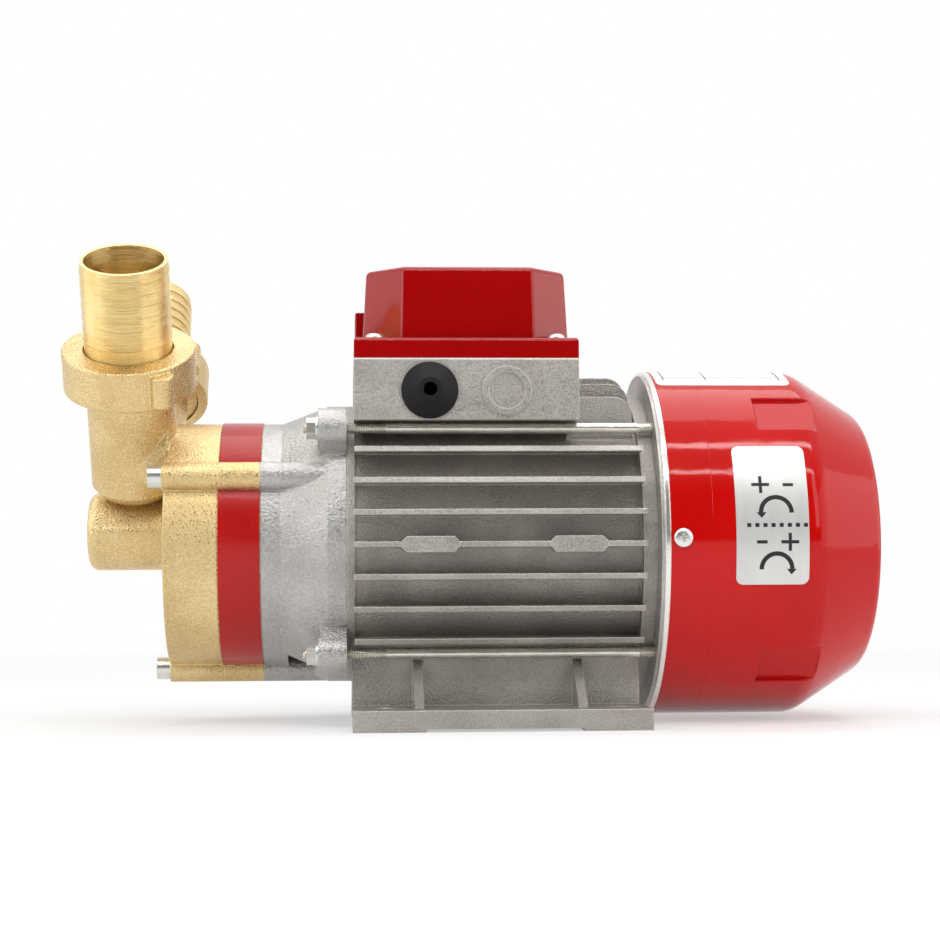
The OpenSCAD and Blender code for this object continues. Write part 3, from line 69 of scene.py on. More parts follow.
# ---- Motor frame
# Sand-cast aluminium: shell, side and top fins, both feet and the terminal tray are one
# casting, left rough and dull grey, with the corners painted brighter, partly as wear from handling
# and partly as a painted highlight.
class Tone:
    """A value on its way through a finish; sums with it add the nodes that work them out."""
    def __init__(self, finish, socket):
        self.finish, self.socket = finish, socket

    def _sum(self, rule, *terms):
        return self.finish.put("Math", {"operation": rule}, dict(enumerate(terms)))

    def __add__(self, other): return self._sum("ADD", self, other)
    def __radd__(self, other): return self._sum("ADD", other, self)
    def __sub__(self, other): return self._sum("SUBTRACT", self, other)
    def __rsub__(self, other): return self._sum("SUBTRACT", other, self)
    def __mul__(self, other): return self._sum("MULTIPLY", self, other)
    def __rmul__(self, other): return self._sum("MULTIPLY", other, self)
    def __mod__(self, length): return self._sum("FLOORED_MODULO", self, length)
    def __pow__(self, other): return self._sum("POWER", self, other)
    def __neg__(self): return self._sum("MULTIPLY", self, -1.0)
    def __abs__(self): return self._sum("ABSOLUTE", self)
    def most(self, other): return self._sum("MAXIMUM", self, other)
    def under(self, limit): return self._sum("LESS_THAN", self, limit)
    def wave(self): return self._sum("SINE", self)
    def angle(self, base): return self._sum("ARCTAN2", self, base)

    def rise(self, low, high, start=0.0, end=1.0):
        """Goes smoothly from start to end as the value goes from low to high."""
        return self.finish.put("MapRange", {"interpolation_type": "SMOOTHSTEP"},
                               {"Value": self, "From Min": low, "From Max": high,
                                "To Min": start, "To Max": end})


class Finish:
    """One surface finish: its nodes, and the shader that they end in."""
    def __init__(self, name, **steady):
        self.material = bpy.data.materials.new(name)
        self.material.use_nodes = True
        self.tree = self.material.node_tree
        self.tree.nodes.clear()
        self.end = self.tree.nodes.new("ShaderNodeOutputMaterial").inputs["Surface"]
        self.shader = self.tree.nodes.new("ShaderNodeBsdfPrincipled")
        self.skin = Tone(self, self.shader.outputs[0])
        self.feed(self.end, self.skin)
        self.give(**steady)

    def put(self, kind, settings, values, out=0):
        """Adds any node: first its settings, then the values or links of its sockets."""
        node = self.tree.nodes.new("ShaderNode" + kind)
        for name, value in settings.items():
            setattr(node, name, value)
        for name, value in values.items():
            self.feed(node.inputs[name], value)
        return Tone(self, node.outputs[out])

    def feed(self, socket, value):
        if isinstance(value, Tone):
            self.tree.links.new(value.socket, socket)
        elif socket.type == "RGBA" and len(value) == 3:
            socket.default_value = (*value, 1.0)
        else:
            socket.default_value = value

    def give(self, **inputs):
        for name, value in inputs.items():
            self.feed(self.shader.inputs[name.replace("_", " ")], value)
        return self

    def place(self):
        return self.put("TexCoord", {}, {}, "Object")

    def axis(self, name):
        """How far along X, Y or Z, in metres."""
        return self.put("SeparateXYZ", {}, {0: self.place()}, name)

    def grain(self, scale, detail=2.0, stretch=None):
        at = self.place()
        if stretch:
            at = self.put("VectorMath", {"operation": "MULTIPLY"}, {0: at, 1: stretch})
        return self.put("TexNoise", {}, {"Vector": at, "Scale": scale, "Detail": detail})

    def blend(self, share, first, second):
        return self.put("Mix", {"data_type": "RGBA"}, {0: share, 6: first, 7: second}, 2)

    def ray(self, kind):
        """1 for rays of that kind and 0 for all others."""
        return self.put("LightPath", {}, {}, "Is %s Ray" % kind)

    def rounded(self, radius):
        """The surface's direction with its corners taken as broken by that radius."""
        return self.put("Bevel", {"samples": 6}, {"Radius": radius})

    def corners(self, radius):
        """1 on the corners and 0 on the flats."""
        flat = self.put("NewGeometry", {}, {}, "Normal")
        like = self.put("VectorMath", {"operation": "DOT_PRODUCT"},
                        {0: self.rounded(radius), 1: flat}, "Value")
        return (1.0 - like).rise(0.015, 0.16)

    def dent(self, height, depth, radius=None):
        """Feeds the surface's direction from a height in metres, over broken corners."""
        values = {"Height": height, "Strength": 1.0, "Distance": depth}
        if radius:
            values["Normal"] = self.rounded(radius)
        return self.give(Normal=self.put("Bump", {}, values))


def cast_metal(name, pale, dull, metal, rough, sand=1100.0, radius=0.9 * mm, wear_and_glint=0.5,
               machined=None):
    """Metal as it leaves a sand mould: mottled, pitted, and brighter on its corners, partly as wear
    where it is rubbed and partly as a painted highlight where the edges catch the light.
    machined is the stretch along the shaft, in mm, that is turned bright."""
    f = Finish(name, Metallic=metal)
    cloud = f.grain(38.0, 3.0).rise(0.30, 0.70)
    speck = f.grain(sand, 3.0).rise(0.33, 0.67)
    pits = f.put("TexVoronoi", {}, {"Vector": f.place(), "Scale": sand * 0.42}, "Distance")
    pits = pits.rise(0.05, 0.30)
    tone = f.blend(cloud * 0.45 + speck * 0.55, dull, pale)
    tone = f.blend((1.0 - pits) * 0.26, tone, [c * 0.45 for c in dull])
    # Corners painted paler, partly as rubbing wear and partly as a painted highlight where rounded
    # edges catch the light.
    tone = f.blend(f.corners(radius) * wear_and_glint, tone, [min(1.0, c * 1.35) for c in pale])
    skin = speck * 0.6 + pits * 0.5 + cloud * 0.4
    dullness = rough + speck * 0.14 - cloud * 0.06
    if machined:
        x = f.axis("X")
        first, last = machined
        cut = (x - first * mm).rise(0.0, 0.1 * mm) * (last * mm - x).rise(0.0, 0.1 * mm)
        tone = f.blend(cut * 0.85, tone, [min(1.0, c * 1.45) for c in pale])
        dullness = dullness * (1.0 - cut * 0.55)
        skin = skin * (1.0 - cut * 0.9)
    f.give(Base_Color=tone, Roughness=dullness)
    return f.dent(skin, 0.22 * mm, radius).material


def dress(material, *names):
    for name in names:
        solid = nodes[name]
        if not solid.material_slots:
            solid.data.materials.append(material)
        for held in solid.material_slots:
            held.material = material


frame_cast = cast_metal("cast_frame", (0.50, 0.47, 0.435), (0.31, 0.287, 0.262), 0.72, 0.42,
                        sand=1250.0, wear_and_glint=0.75)
dress(frame_cast, "motor_frame")


# ---- Pump bracket and the shield at the fan end
# Both are finer aluminium castings, paler than the frame, and keep their cast skin. Only
# the rim of the shield is turned bright, next to the fan cover pushed over it.
bracket_cast = cast_metal("cast_bracket", (0.56, 0.55, 0.53), (0.38, 0.37, 0.355), 0.80, 0.36,
                          sand=900.0, wear_and_glint=0.45)
dress(bracket_cast, "pump_bracket")
shield_cast = cast_metal("shield_alu", (0.60, 0.58, 0.55), (0.36, 0.345, 0.33), 0.78, 0.34,
                         sand=700.0, wear_and_glint=0.45, machined=(67.7, 70.1))
dress(shield_cast, "rear_shield")


# ---- Pump cover and casing ring
# The sand-cast brass head with both ports in it, and the brass ring behind it. Both have
# a fine pitted skin, paler on the edges, partly as rubbing wear and partly as a painted highlight.
cover_brass = cast_metal("cast_brass", (0.89, 0.69, 0.37), (0.58, 0.41, 0.18), 0.88, 0.27,
                         sand=1300.0, radius=1.2 * mm, wear_and_glint=0.6)
dress(cover_brass, "pump_cover", "casing_ring")


# ---- Red band and casing seal
# A red painted strip round the casing ring, in segments between its ribs, and the rubber
# rings and gaskets that keep the water in; the cable grommet is of the same rubber.
def painted(name, colour, deep, rough):
    """Sprayed paint with a slight orange peel."""
    f = Finish(name, Specular_IOR_Level=0.25, Coat_Roughness=0.08)
    cloud = f.grain(25.0, 2.0).rise(0.3, 0.7)
    peel = f.grain(260.0, 2.0)
    f.give(Base_Color=f.blend(cloud, deep, colour), Roughness=rough + cloud * 0.06,
           Coat_Weight=0.12)
    return f.dent(peel, 0.06 * mm, 0.6 * mm).material


dress(painted("red_paint", (0.46, 0.010, 0.008), (0.40, 0.007, 0.006), 0.26), "red_band")


def rubber(name, colour, rough=0.55):
    """Dull and even, a little paler where dust lies on it."""
    f = Finish(name, Specular_IOR_Level=0.28)
    dust = f.grain(220.0, 3.0).rise(0.45, 0.75)
    fine = f.grain(1600.0, 2.0)
    f.give(Base_Color=f.blend(dust * 0.5, colour, [c * 1.7 + 0.006 for c in colour]),
           Roughness=rough + dust * 0.15)
    return f.dent(fine, 0.05 * mm, 0.5 * mm).material


black_rubber = rubber("black_rubber", (0.004, 0.004, 0.005))
dress(black_rubber, "casing_oring", "slinger", "near_port_gasket", "far_port_gasket",
      "cable_grommet")


# ---- Bolts, tie rods, nuts and washers
# Steel with bright zinc plating. The rods' ends carry a rolled thread, which shows
# between the bracket's ears and the first fins.
def plated(name, colour, tint, rough, radius=0.4 * mm, metal=1.0):
    """Drawn or ground metal, with fine lines along its length and a cloudy tint."""
    f = Finish(name, Metallic=metal)
    cloud = f.grain(160.0, 3.0).rise(0.3, 0.7)
    draw = f.grain(900.0, 2.0, (0.08, 1.0, 1.0))
    tone = f.blend(cloud, colour, tint)
    if radius:
        # Corners painted paler, partly as wear and partly as a painted highlight where the edges
        # catch the light.
        tone = f.blend(f.corners(radius) * 0.5, tone, [min(1.0, c * 1.3) for c in colour])
    f.give(Base_Color=tone, Roughness=rough + draw * 0.16)
    return f.dent(draw, 0.03 * mm, radius).material


zinc = plated("zinc_steel", (0.80, 0.80, 0.78), (0.70, 0.695, 0.64), 0.22, metal=0.9)
dress(zinc, "pump_bolts", "tie_rod_nuts", "tie_rod_washers", "earth_screw")


def clear_bench():
    if bpy.context.mode != "OBJECT":
        bpy.ops.object.mode_set(mode="OBJECT")
    bpy.ops.object.select_all(action="DESELECT")


def turned(name, steps, sides, keen=30):
    """Turns a piece about the vertical; steps are its (height, radius) in mm, end to end."""
    clear_bench()
    level, wide = steps[0]
    bpy.ops.mesh.primitive_circle_add(vertices=sides, radius=wide * mm, fill_type="NGON")
    piece = bpy.context.object
    piece.name = piece.data.name = name
    bpy.ops.object.mode_set(mode="EDIT")
    bpy.ops.mesh.select_all(action="SELECT")
    bpy.ops.transform.translate(value=(0, 0, level * mm))
    for height, radius in steps[1:]:
        upwards = (0, 0, (height - level) * mm)
        bpy.ops.mesh.extrude_region_move(TRANSFORM_OT_translate={"value": upwards})
        share = radius / wide
        bpy.ops.transform.resize(value=(share, share, 1), center_override=(0, 0, height * mm))
        level, wide = height, radius
    bpy.ops.mesh.select_all(action="SELECT")
    bpy.ops.mesh.normals_make_consistent(inside=False)
    bpy.ops.object.mode_set(mode="OBJECT")
    bpy.ops.object.shade_smooth_by_angle(angle=math.radians(keen))
    return piece


def another(piece, name):
    twin = piece.copy()
    twin.data = piece.data.copy()
    twin.name = twin.data.name = name
    bpy.context.scene.collection.objects.link(twin)
    return twin


def set_down(piece, spot, axis):
    """Lays the piece's upright along axis and its zero on spot, in mm, in the mesh itself."""
    lie = Vector((0, 0, 1)).rotation_difference(Vector(axis)).to_matrix().to_4x4()
    piece.data.transform(Matrix.Translation(Vector(spot) * mm) @ lie)
    return piece


def fit(piece, material, body, slot, *solids):
    piece.data.materials.clear()
    piece.data.materials.append(material)
    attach(piece, body)
    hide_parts(*solids)


shaft_h = 80            # mm from the feet to the shaft
rod_off = 48.4          # mm from the shaft to a rod, across and up
rod_from = -84.3        # mm, the rods' ends at the bracket
shank_r, root_r, flank_r, crest_r = 2.36, 1.86, 2.46, 2.5
rod_zinc = plated("rod_zinc", (0.84, 0.83, 0.78), (0.74, 0.72, 0.62), 0.20, radius=None, metal=0.9)


def thread(start, turns):
    """Rings of 1 mm pitch, as a rolled thread looks from outside."""
    return [ring for k in range(turns) for ring in
            ((start + k, root_r), (start + 0.38 + k, flank_r), (start + 0.5 + k, crest_r))]


rod = turned("tie_rod_1", [(0.0, 1.9), (0.5, 2.45), *thread(1.0, 35),
                           (36.6, shank_r), (144.4, shank_r), *thread(145.0, 15),
                           (160.0, root_r), (160.5, flank_r), (160.8, 2.2)], 24, keen=24)
for k, (y, z) in enumerate(((-1, -1), (-1, 1), (1, -1), (1, 1))):
    held = another(rod, "tie_rod_%d" % (k + 2)) if k < 3 else rod
    set_down(held, (rod_from, rod_off * y, shaft_h + rod_off * z), (1, 0, 0))
    fit(held, rod_zinc, "housing", "zinc_steel", "tie_rods")


def pan_screw(name, reach, shank, head, tall):
    """A pan head with a cross recess, its seat at zero and its shank below."""
    screw = turned(name, ((-reach, 0.4 * shank), (1.2 - reach, shank), (0, shank), (0, head),
                          (0.35 * tall, head), (0.62 * tall, 0.94 * head), (0.84 * tall, 0.78 * head),
                          (0.96 * tall, 0.52 * head), (tall, 0.25 * head)), 40)
    for quarter in (0, 90):
        clear_bench()
        bpy.ops.mesh.primitive_cube_add(size=1)
        key = bpy.context.object
        key.scale = (1.15 * head * mm, 0.26 * head * mm, 1.3 * tall * mm)
        key.rotation_euler = (0, 0, math.radians(quarter))
        key.location = (0, 0, tall * mm)
        bpy.ops.object.transform_apply(location=True, rotation=True, scale=True)
        bpy.ops.object.mode_set(mode="EDIT")
        bpy.ops.mesh.select_all(action="DESELECT")
        foot = bmesh.from_edit_mesh(key.data)
        for face in foot.faces:
            face.select_set(face.normal.z < -0.5)
        bmesh.update_edit_mesh(key.data)
        bpy.ops.transform.resize(value=(0.55, 0.55, 1), center_override=(0, 0, 0))
        clear_bench()
        recess = screw.modifiers.new("recess", "BOOLEAN")
        recess.operation = "DIFFERENCE"
        recess.solver = "EXACT"
        recess.object = key
        bpy.context.view_layer.objects.active = screw
        bpy.ops.object.modifier_apply(modifier="recess")
        bpy.data.objects.remove(key)
    return screw


# ---- Rotor, stator and bearings
# The turning set inside the frame: ground shaft, stacked core plates with a cast cage,
# copper coils laced in the slots, and two ball bearings.
def stacked(name, colour, dull, pitch):
    """Thin steel plates laid one on another along the shaft."""
    f = Finish(name, Metallic=0.9)
    plate = (f.axis("X") * (math.tau / pitch)).wave() * 0.5 + 0.5
    fog = f.grain(120.0, 3.0)
    f.give(Base_Color=f.blend(plate * 0.6 + fog * 0.4, dull, colour), Roughness=0.42 + fog * 0.2)
    return f.dent(plate, 0.06 * mm).material


dress(plated("shaft_steel", (0.60, 0.60, 0.60), (0.50, 0.49, 0.48), 0.16),
      "motor_shaft", "impeller_key", "fan_clip", "wave_washer", "impeller_nut")
dress(stacked("core_steel", (0.30, 0.29, 0.28), (0.16, 0.155, 0.15), 0.5 * mm),
      "rotor_core", "stator_core")
dress(cast_metal("cage_alu", (0.72, 0.72, 0.71), (0.58, 0.58, 0.57), 0.8, 0.38), "rotor_cage")


def wound(name, colour, dark):
    """Varnished wire, seen as strands."""
    f = Finish(name, Metallic=0.75)
    strand = f.grain(420.0, 2.0, (1.0, 5.0, 5.0)).rise(0.35, 0.65)
    f.give(Base_Color=f.blend(strand, dark, colour), Roughness=0.30 + strand * 0.15)
    return f.dent(strand, 0.3 * mm).material


dress(wound("copper", (0.60, 0.24, 0.10), (0.30, 0.09, 0.04)), "stator_windings")
dress(plated("bearing_steel", (0.72, 0.72, 0.73), (0.62, 0.62, 0.63), 0.12),
      "front_bearing_outer", "front_bearing_inner", "front_bearing_balls",
      "rear_bearing_outer", "rear_bearing_inner", "rear_bearing_balls")
dress(plated("cage_brass", (0.72, 0.52, 0.22), (0.62, 0.43, 0.17), 0.30),
      "front_bearing_cage", "rear_bearing_cage")


# ---- Impeller and shaft seal
# A brass star wheel, cast and then turned to its size, keyed on the shaft. Behind it a
# carbon face runs on a ceramic seat.
def turned_metal(name, colour, dull, rough, lines):
    """A casting finished by turning: fine marks all over, and corners painted bright, partly as
    machined edges and partly as a painted highlight.
    """
    f = Finish(name, Metallic=0.92)
    ring = f.grain(lines, 2.0)
    cloud = f.grain(60.0, 2.0).rise(0.3, 0.7)
    tone = f.blend(cloud * 0.6 + ring * 0.3, dull, colour)
    # Corners painted paler: partly bright machining, partly a painted highlight.
    tone = f.blend(f.corners(0.6 * mm) * 0.55, tone, [min(1.0, c * 1.3) for c in colour])
    f.give(Base_Color=tone, Roughness=rough + ring * 0.14)
    return f.dent(ring, 0.06 * mm, 0.6 * mm).material


dress(turned_metal("impeller_brass", (0.78, 0.57, 0.24), (0.66, 0.46, 0.18), 0.28, 900.0), "impeller")
dress(rubber("seal_face", (0.05, 0.05, 0.055), 0.35), "seal_head")
dress(rubber("seal_seat", (0.62, 0.60, 0.56), 0.30), "seal_seat")


# ---- Cooling fan and fan cover
# The fan is moulded in black plastic. The cover is one glossy red moulding pushed over
# the shield's rim: a drum, a sloped shoulder with four grips, and a guard of rings.
def moulded(name, colour, deep, rough, coat=0.0, sheen=0.5, step=None):
    """Injected plastic, faintly rippled; step is where its radius drops a little, in mm."""
    f = Finish(name, Specular_IOR_Level=sheen, Coat_Roughness=0.06)
    cloud = f.grain(16.0, 2.0).rise(0.3, 0.7)
    ripple = f.grain(140.0, 1.0)
    scuff = f.grain(900.0, 2.0, (0.15, 1.0, 1.0)).rise(0.70, 0.86)
    f.give(Base_Color=f.blend(cloud, deep, colour), Roughness=rough + cloud * 0.05 + scuff * 0.10,
           Coat_Weight=coat)
    if step:
        ripple = ripple + (f.axis("X") - step * mm).rise(-0.2 * mm, 0.2 * mm) * 1.6
    return f.dent(ripple, 0.1 * mm, 0.8 * mm).material


black_moulding = moulded("black_plastic", (0.022, 0.022, 0.024), (0.014, 0.014, 0.016), 0.42)
dress(black_moulding, "cooling_fan", "terminal_block", "switch_body")
red_moulding = moulded("red_plastic", (0.345, 0.002, 0.002), (0.32, 0.001, 0.001), 0.10,
                       coat=0.24, sheen=0.34)
cowl_moulding = moulded("cowl_plastic", (0.54, 0.004, 0.003), (0.49, 0.003, 0.002), 0.07,
                        coat=0.12, sheen=0.22, step=88.0)
keen_edge = 0.38        # radians between two faces, from which a corner is eased


def eased(node, name, cuts):
    """A copy of a solid with corners eased; cuts are (width in mm, steps, test of an edge)."""
    clear_bench()
    piece = bpy.data.objects.new(name, nodes[node].data.copy())
    piece.data.name = name
    bpy.context.scene.collection.objects.link(piece)
    piece.select_set(True)
    bpy.context.view_layer.objects.active = piece
    if piece.data.has_custom_normals:
        bpy.ops.mesh.customdata_custom_splitnormals_clear()
    bpy.ops.object.mode_set(mode="EDIT")
    bpy.ops.mesh.select_mode(type="EDGE")
    bpy.ops.mesh.select_all(action="SELECT")
    bpy.ops.mesh.remove_doubles(threshold=2e-6)
    bpy.ops.mesh.select_all(action="SELECT")
    bpy.ops.mesh.dissolve_limited(angle_limit=math.radians(0.5))
    for wide, steps, test in cuts:
        bpy.ops.mesh.select_all(action="DESELECT")
        shape = bmesh.from_edit_mesh(piece.data)
        for edge in shape.edges:
            if len(edge.link_faces) == 2 and edge.is_convex and edge.calc_face_angle(0.0) > keen_edge:
                first, last = (corner.co / mm for corner in edge.verts)
                edge.select_set(test(first, last))
        bmesh.update_edit_mesh(piece.data)
        bpy.ops.mesh.bevel(offset=wide * mm, segments=steps, affect="EDGES", clamp_overlap=False)
    bpy.ops.object.mode_set(mode="OBJECT")
    bpy.ops.object.shade_smooth_by_angle(angle=math.radians(35))
    even = piece.modifiers.new("even", "WEIGHTED_NORMAL")
    even.keep_sharp = True
    bpy.ops.object.modifier_apply(modifier="even")
    return piece


cowl_r = 77.6           # mm from the shaft to the outside of the drum
shoulder_x = 134        # mm, where the drum ends and the slope starts
cowl_screw_x = 75.1     # mm, a screw's place along the shaft
cowl_screw_l = 11.6     # mm, from under its head


def drum_r(point):
    """How far a point is from the shaft, in mm."""
    return math.hypot(point.y, point.z - shaft_h)


def at_shoulder(first, last):
    """The ring where the drum turns into the slope."""
    return all(abs(p.x - shoulder_x) < 0.05 and drum_r(p) > 77 for p in (first, last))


def at_end(first, last):
    """The outer ring of the end face."""
    return all(p.x > 162.1 and drum_r(p) > 56 for p in (first, last))


def at_grip(first, last):
    """The corners of the hollow grips, but not the ring that they cut into."""
    on_shoulder = abs(first.x - shoulder_x) + abs(last.x - shoulder_x) < 0.1
    near_grip = all(110.5 < p.x < 138.5 and 73 < drum_r(p) < 77.8 for p in (first, last))
    return near_grip and not on_shoulder


fan_cowl = eased("fan_cover", "fan_cowl",
                 ((4.0, 4, at_shoulder), (1.3, 3, at_end), (0.7, 3, at_grip)))
fit(fan_cowl, cowl_moulding, "housing", "red_plastic", "fan_cover")
cowl_screw = pan_screw("cowl_screw_near", cowl_screw_l, 1.95, 4.1, 1.8)
for name, across in (("cowl_screw_far", 1), ("cowl_screw_near", -1)):
    held = another(cowl_screw, name) if across > 0 else cowl_screw
    set_down(held, (cowl_screw_x, cowl_r * across, shaft_h), (0, across, 0))
    fit(held, zinc, "housing", "zinc_steel", "fan_cover_screws")


# ---- Terminal box: gasket, cover and what sits inside
# A white foam gasket, the red moulded cover with its hood for the capacitor, a terminal
# block with brass studs, and the leads.
gasket = Finish("white_gasket", Roughness=0.85)
foam = gasket.grain(900.0, 3.0).rise(0.3, 0.7)
gasket.give(Base_Color=gasket.blend(foam, (0.70, 0.69, 0.66), (0.86, 0.85, 0.83)))
dress(gasket.dent(foam, 0.1 * mm).material, "box_gasket")

flange_top = 167        # mm, where the hood rises from the flange
slack = 0.1


def on_hood_corner(first, last):
    """The upright corners of the hood."""
    low_end, high_end = sorted((first.z, last.z))
    return high_end > 198.7 and flange_top - slack < low_end < 190


def on_hood_top(first, last):
    """All round the top of the hood."""
    return min(first.z, last.z) > 196


def at_rim(point):
    """Whether a point lies on the outside of the flange."""
    outside = abs(point.y) > 56.5 or point.x < -60.5 or point.x > 32.2
    return outside and 158 < point.z < flange_top + slack


def on_flange(first, last):
    """The top edge and the upright corners of the flange."""
    return at_rim(first) and at_rim(last) and max(first.z, last.z) > flange_top - slack


def on_surround(first, last):
    """The surround of the switch, on the end of the hood."""
    return all(p.x < -61.7 and p.z > flange_top - slack for p in (first, last))


cover = eased("box_cover", "box_lid", ((1.0, 3, on_hood_corner), (2.4, 4, on_hood_top),
                                       (2.0, 4, on_flange), (1.0, 3, on_surround)))
fit(cover, red_moulding, "housing", "red_plastic", "box_cover")
screw_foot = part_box("box_cover_screws")[0][2] / mm
lid_screw = pan_screw("lid_screw_1", flange_top - screw_foot, 1.95, 4.0, 2.6)
lid_screw_x, lid_screw_y = (-53.5, 25.0), 48.5      # mm, their places from the middle
spots = [(x, y) for x in lid_screw_x for y in (-lid_screw_y, lid_screw_y)]
for k, (x, y) in enumerate(spots):
    held = another(lid_screw, "lid_screw_%d" % (k + 2)) if k < 3 else lid_screw
    held.data.transform(Matrix.Rotation(math.radians(25 + 40 * k), 4, "Z"))
    set_down(held, (x, y, flange_top), (0, 0, 1))
    fit(held, zinc, "housing", "zinc_steel", "box_cover_screws")
dress(moulded("capacitor_case", (0.80, 0.79, 0.76), (0.72, 0.71, 0.68), 0.35), "capacitor")
dress(plated("contact_brass", (0.80, 0.62, 0.30), (0.70, 0.52, 0.24), 0.22), "terminal_studs")
dress(moulded("red_wire", (0.50, 0.03, 0.02), (0.42, 0.02, 0.015), 0.40), "motor_leads")
dress(moulded("blue_wire", (0.03, 0.09, 0.42), (0.02, 0.07, 0.34), 0.40), "switch_leads")
dress(moulded("grey_wire", (0.30, 0.30, 0.30), (0.24, 0.24, 0.24), 0.40), "capacitor_leads")
dress(black_moulding, "switch_rocker")


# ---- Hose tails and ring nuts
# Each port has a turned brass hose tail with seven barbs, held by a cast brass ring nut
# with two lugs to knock it round.
port_tilt = math.radians(30.5)
port_root = Vector((-159.6, 0, 90))     # mm, where both ports' axes meet
tool_waves = 12566.0                    # radians a metre, for a line every half mm


def turned_brass(name, across):
    """Brass whose tool lines run round the port's own axis."""
    f = Finish(name, Metallic=0.95)
    upright, sideways = f.axis("Z") - port_root.z * mm, f.axis("Y")
    height = upright * math.cos(port_tilt) + sideways * (across * math.sin(port_tilt))
    rung = f.put("CombineXYZ", {}, {0: height * 3000.0, 1: 0.0, 2: 0.0})
    line = f.put("TexNoise", {}, {"Vector": rung, "Scale": 1.0, "Detail": 3.0})
    tool = (height * tool_waves).wave() * 0.35 + line
    cloud = f.grain(70.0, 3.0).rise(0.3, 0.7)
    tone = f.blend(cloud * 0.5 + line * 0.4, (0.76, 0.54, 0.20), (0.95, 0.74, 0.36))
    # Corners painted pale, partly as a painted highlight where the edges catch the light and partly
    # as bright turned edges.
    tone = f.blend(f.corners(0.7 * mm) * 0.7, tone, (1.0, 0.86, 0.52))
    f.give(Base_Color=tone, Roughness=0.17 + line * 0.14)
    return f.dent(tool, 0.1 * mm, 0.4 * mm).material


dress(turned_brass("near_turned_brass", -1), "near_hose_tail")
dress(turned_brass("far_turned_brass", 1), "far_hose_tail")
nut_brass = cast_metal("nut_brass", (0.86, 0.66, 0.34), (0.60, 0.43, 0.19), 0.90, 0.24, sand=1300.0,
                       radius=1.2 * mm, wear_and_glint=0.7)
for port, across in (("near", -1), ("far", 1)):
    lean = Vector((0, across * math.sin(port_tilt), math.cos(port_tilt)))

    def outside(first, last):
        return all((p - port_root).cross(lean).length > 26 for p in (first, last))

    nut = eased(port + "_ring_nut", port + "_port_nut", ((0.8, 3, outside),))
    fit(nut, nut_brass, port + "_nut", "turned_brass", port + "_ring_nut")


# ---- Labels
# A silver foil label with the two ways of connection and of turning printed as plain
# signs, and on top a white plate ruled as an empty form. Both are stuck on the fan cover.
label_r = 77.7          # mm from the shaft to the face of both labels


class Label(Finish):
    """A printed foil, with mm along the shaft and round the drum counted from its middle."""
    def __init__(self, name, ground, shade, metal, middle, on_top):
        super().__init__(name, Metallic=metal)
        fog = self.grain(45.0, 2.0).rise(0.3, 0.7)
        self.brush = self.grain(500.0, 2.0, (1.0, 0.06, 0.06))
        self.paper = self.blend(fog * 0.5 + self.brush * 0.5, shade, ground)
        out, rise = self.axis("Y"), self.axis("Z") - shaft_h * mm
        self.along = self.axis("X") * 1000.0 - middle
        self.around = (out.angle(rise) if on_top else rise.angle(-out)) * label_r

    def ink(self, mask):
        return self.give(Base_Color=self.blend(mask, self.paper, (0.03, 0.028, 0.028)),
                         Roughness=0.34 + self.brush * 0.12 + mask * 0.12).material


foil = Label("label_foil", (0.74, 0.735, 0.72), (0.64, 0.635, 0.62), 0.55, 113.1, False)
stroke, bow_r, head_h = 1.4, 6.5, 2.4   # mm, of the printed signs


def bar(du, dv, wide, tall):
    return abs(foil.along - du).under(wide / 2) * abs(foil.around - dv).under(tall / 2)


def minus(du, dv):
    return bar(du, dv, 4.5, stroke)


def plus(du, dv):
    return bar(du, dv, 7.6, stroke).most(bar(du, dv, stroke, 7.6))


def turn_sign(du, dv, head):
    """A half turn ending in an arrow head on the left (-1) or the right (1)."""
    ru, rv = foil.along - du, foil.around - dv
    bow = abs((ru * ru + rv * rv) ** 0.5 - bow_r).under(0.95) * (-rv).under(0.2)
    tip = abs(ru - head * 6.3).under((rv + head_h) * 0.9)
    return bow.most(tip * rv.under(0.0) * (-rv).under(head_h))


dots = ((foil.along + 10.9) % 3.45).under(1.75)
signs = dots * abs(foil.around - 5.2).under(0.85) * abs(foil.along - 2.2).under(13.1)
for sign in (plus(-4.5, 22.7), minus(7.3, 22.6), turn_sign(1.7, 10.6, -1),
             minus(-4.6, -1.9), plus(7.3, -1.9), turn_sign(1.7, -13.3, 1)):
    signs = signs.most(sign)
dress(foil.ink(signs), "rotation_label")

plate = Label("plate_foil", (0.88, 0.875, 0.86), (0.82, 0.815, 0.80), 0.05, 100.8, True)
form_l, form_w, row_w = 52.0, 64.8, 6.4     # mm, the ruled form and its rows
lines = ((plate.around + 60.0) % row_w).under(0.45) * abs(plate.along).under(form_l / 2)
lines = lines.most(abs(abs(plate.along) - form_l / 2).under(0.3))
lines = lines.most(abs(plate.along + 7.0).under(0.25)) * abs(plate.around).under(form_w / 2)
dress(plate.ink(lines), "rating_plate")


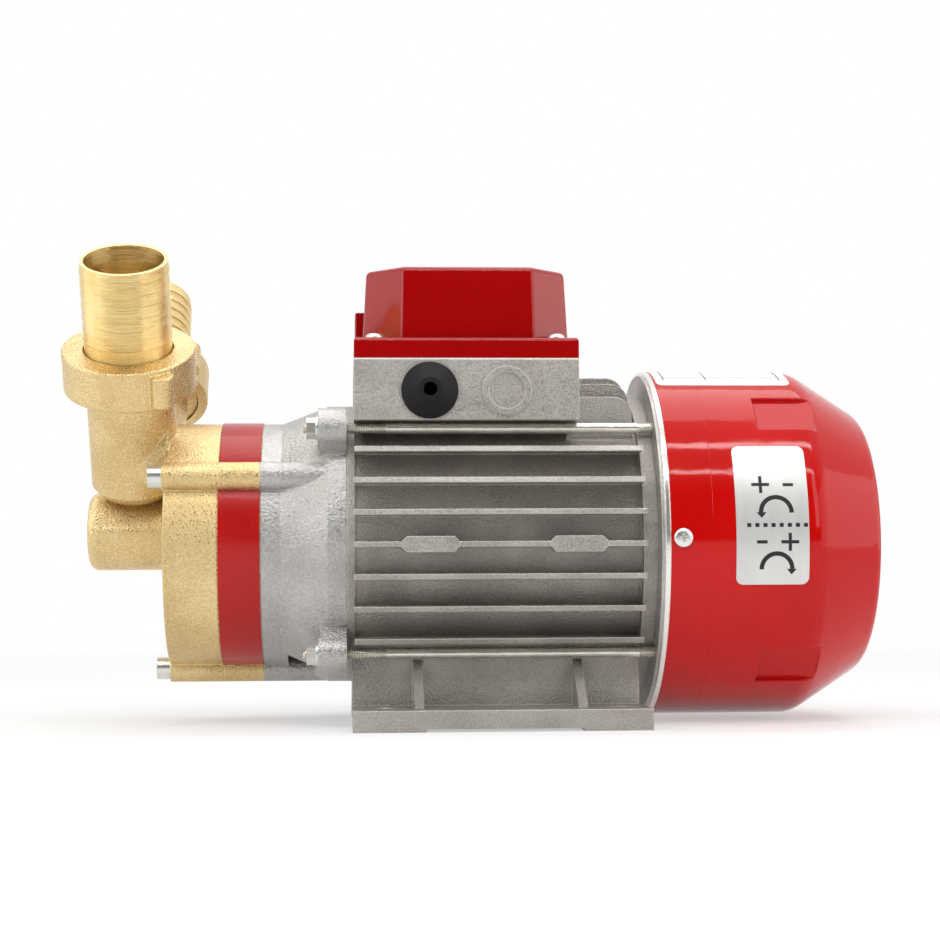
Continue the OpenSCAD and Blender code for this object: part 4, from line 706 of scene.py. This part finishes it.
# ---- Floor and studio
# A white sweep that fades into the white behind, soft boxes overhead and at both sides,
# and two strips above the lens; the photographer's side of the room is dim.
clear_bench()
bpy.ops.mesh.primitive_plane_add(size=8.0, location=(0.0, 0.0, 0.0))
floor = bpy.context.object
floor.name = "floor"
sweep = Finish("floor_white", Base_Color=(0.90, 0.90, 0.90), Roughness=0.75,
               Specular_IOR_Level=0.2)
glow = sweep.put("Emission", {}, {})
x, y = sweep.axis("X") + 0.01, sweep.axis("Y")
away = (x * x + y * y) ** 0.5
seen = sweep.ray("Camera").most(sweep.ray("Glossy")).most(sweep.ray("Transmission"))
fade = seen * away.rise(0.25, 1.3, 0.45, 1.0)
sweep.feed(sweep.end, sweep.put("MixShader", {}, {0: fade, 1: sweep.skin, 2: glow}))
floor.data.materials.append(sweep.material)


class Air(Finish):
    """The room all round, put together in the same way as a finish."""
    def __init__(self, name):
        world = bpy.data.worlds.new(name)
        bpy.context.scene.world = world
        world.use_nodes = True
        self.tree = world.node_tree
        self.tree.nodes.clear()
        self.end = self.tree.nodes.new("ShaderNodeOutputWorld").inputs["Surface"]


room = Air("studio")
facing = room.put("TexCoord", {}, {}, "Generated")
back = room.put("SeparateXYZ", {}, {0: facing}, "Y").rise(-0.80, -0.10, 0.05, 1.0)
ceiling = room.put("SeparateXYZ", {}, {0: facing}, "Z").rise(0.45, 0.9, 0.0, 0.8)
bright = back.most(ceiling) * (0.55 + room.ray("Glossy") * 0.45)
clear = room.ray("Camera").most(room.ray("Transmission"))
level = bright + clear * (1.0 - bright)
room.feed(room.end, room.put("Background", {}, {"Color": (1.0, 1.0, 1.0), "Strength": level}))

aim = Vector((-0.01, 0.0, 0.10))
for name, spot, size, power in (("overhead", (0.0, 0.30, 1.45), (1.5, 0.9), 9.0),
                                ("high_strip", (0.1, -0.62, 1.25), (1.6, 0.08), 5.2),
                                ("low_strip", (0.1, -0.98, 1.02), (1.6, 0.06), 3.8),
                                ("front_left", (-1.10, -1.05, 0.85), (0.8, 0.7), 5.0),
                                ("front_right", (0.95, -1.20, 0.70), (0.35, 0.9), 2.5),
                                ("left_wall", (-1.70, -0.35, 0.45), (2.0, 1.2), 6.0),
                                ("right_wall", (1.80, -0.45, 0.40), (2.0, 1.2), 8.0)):
    lamp = bpy.data.lights.new(name, "AREA")
    lamp.shape = "RECTANGLE"
    lamp.size, lamp.size_y = size
    lamp.energy = power
    held = bpy.data.objects.new(name, lamp)
    turn = (aim - Vector(spot)).to_track_quat("-Z", "Y").to_matrix().to_4x4()
    held.matrix_world = Matrix.Translation(spot) @ turn
    bpy.context.scene.collection.objects.link(held)

bpy.context.scene.view_settings.view_transform = "Standard"
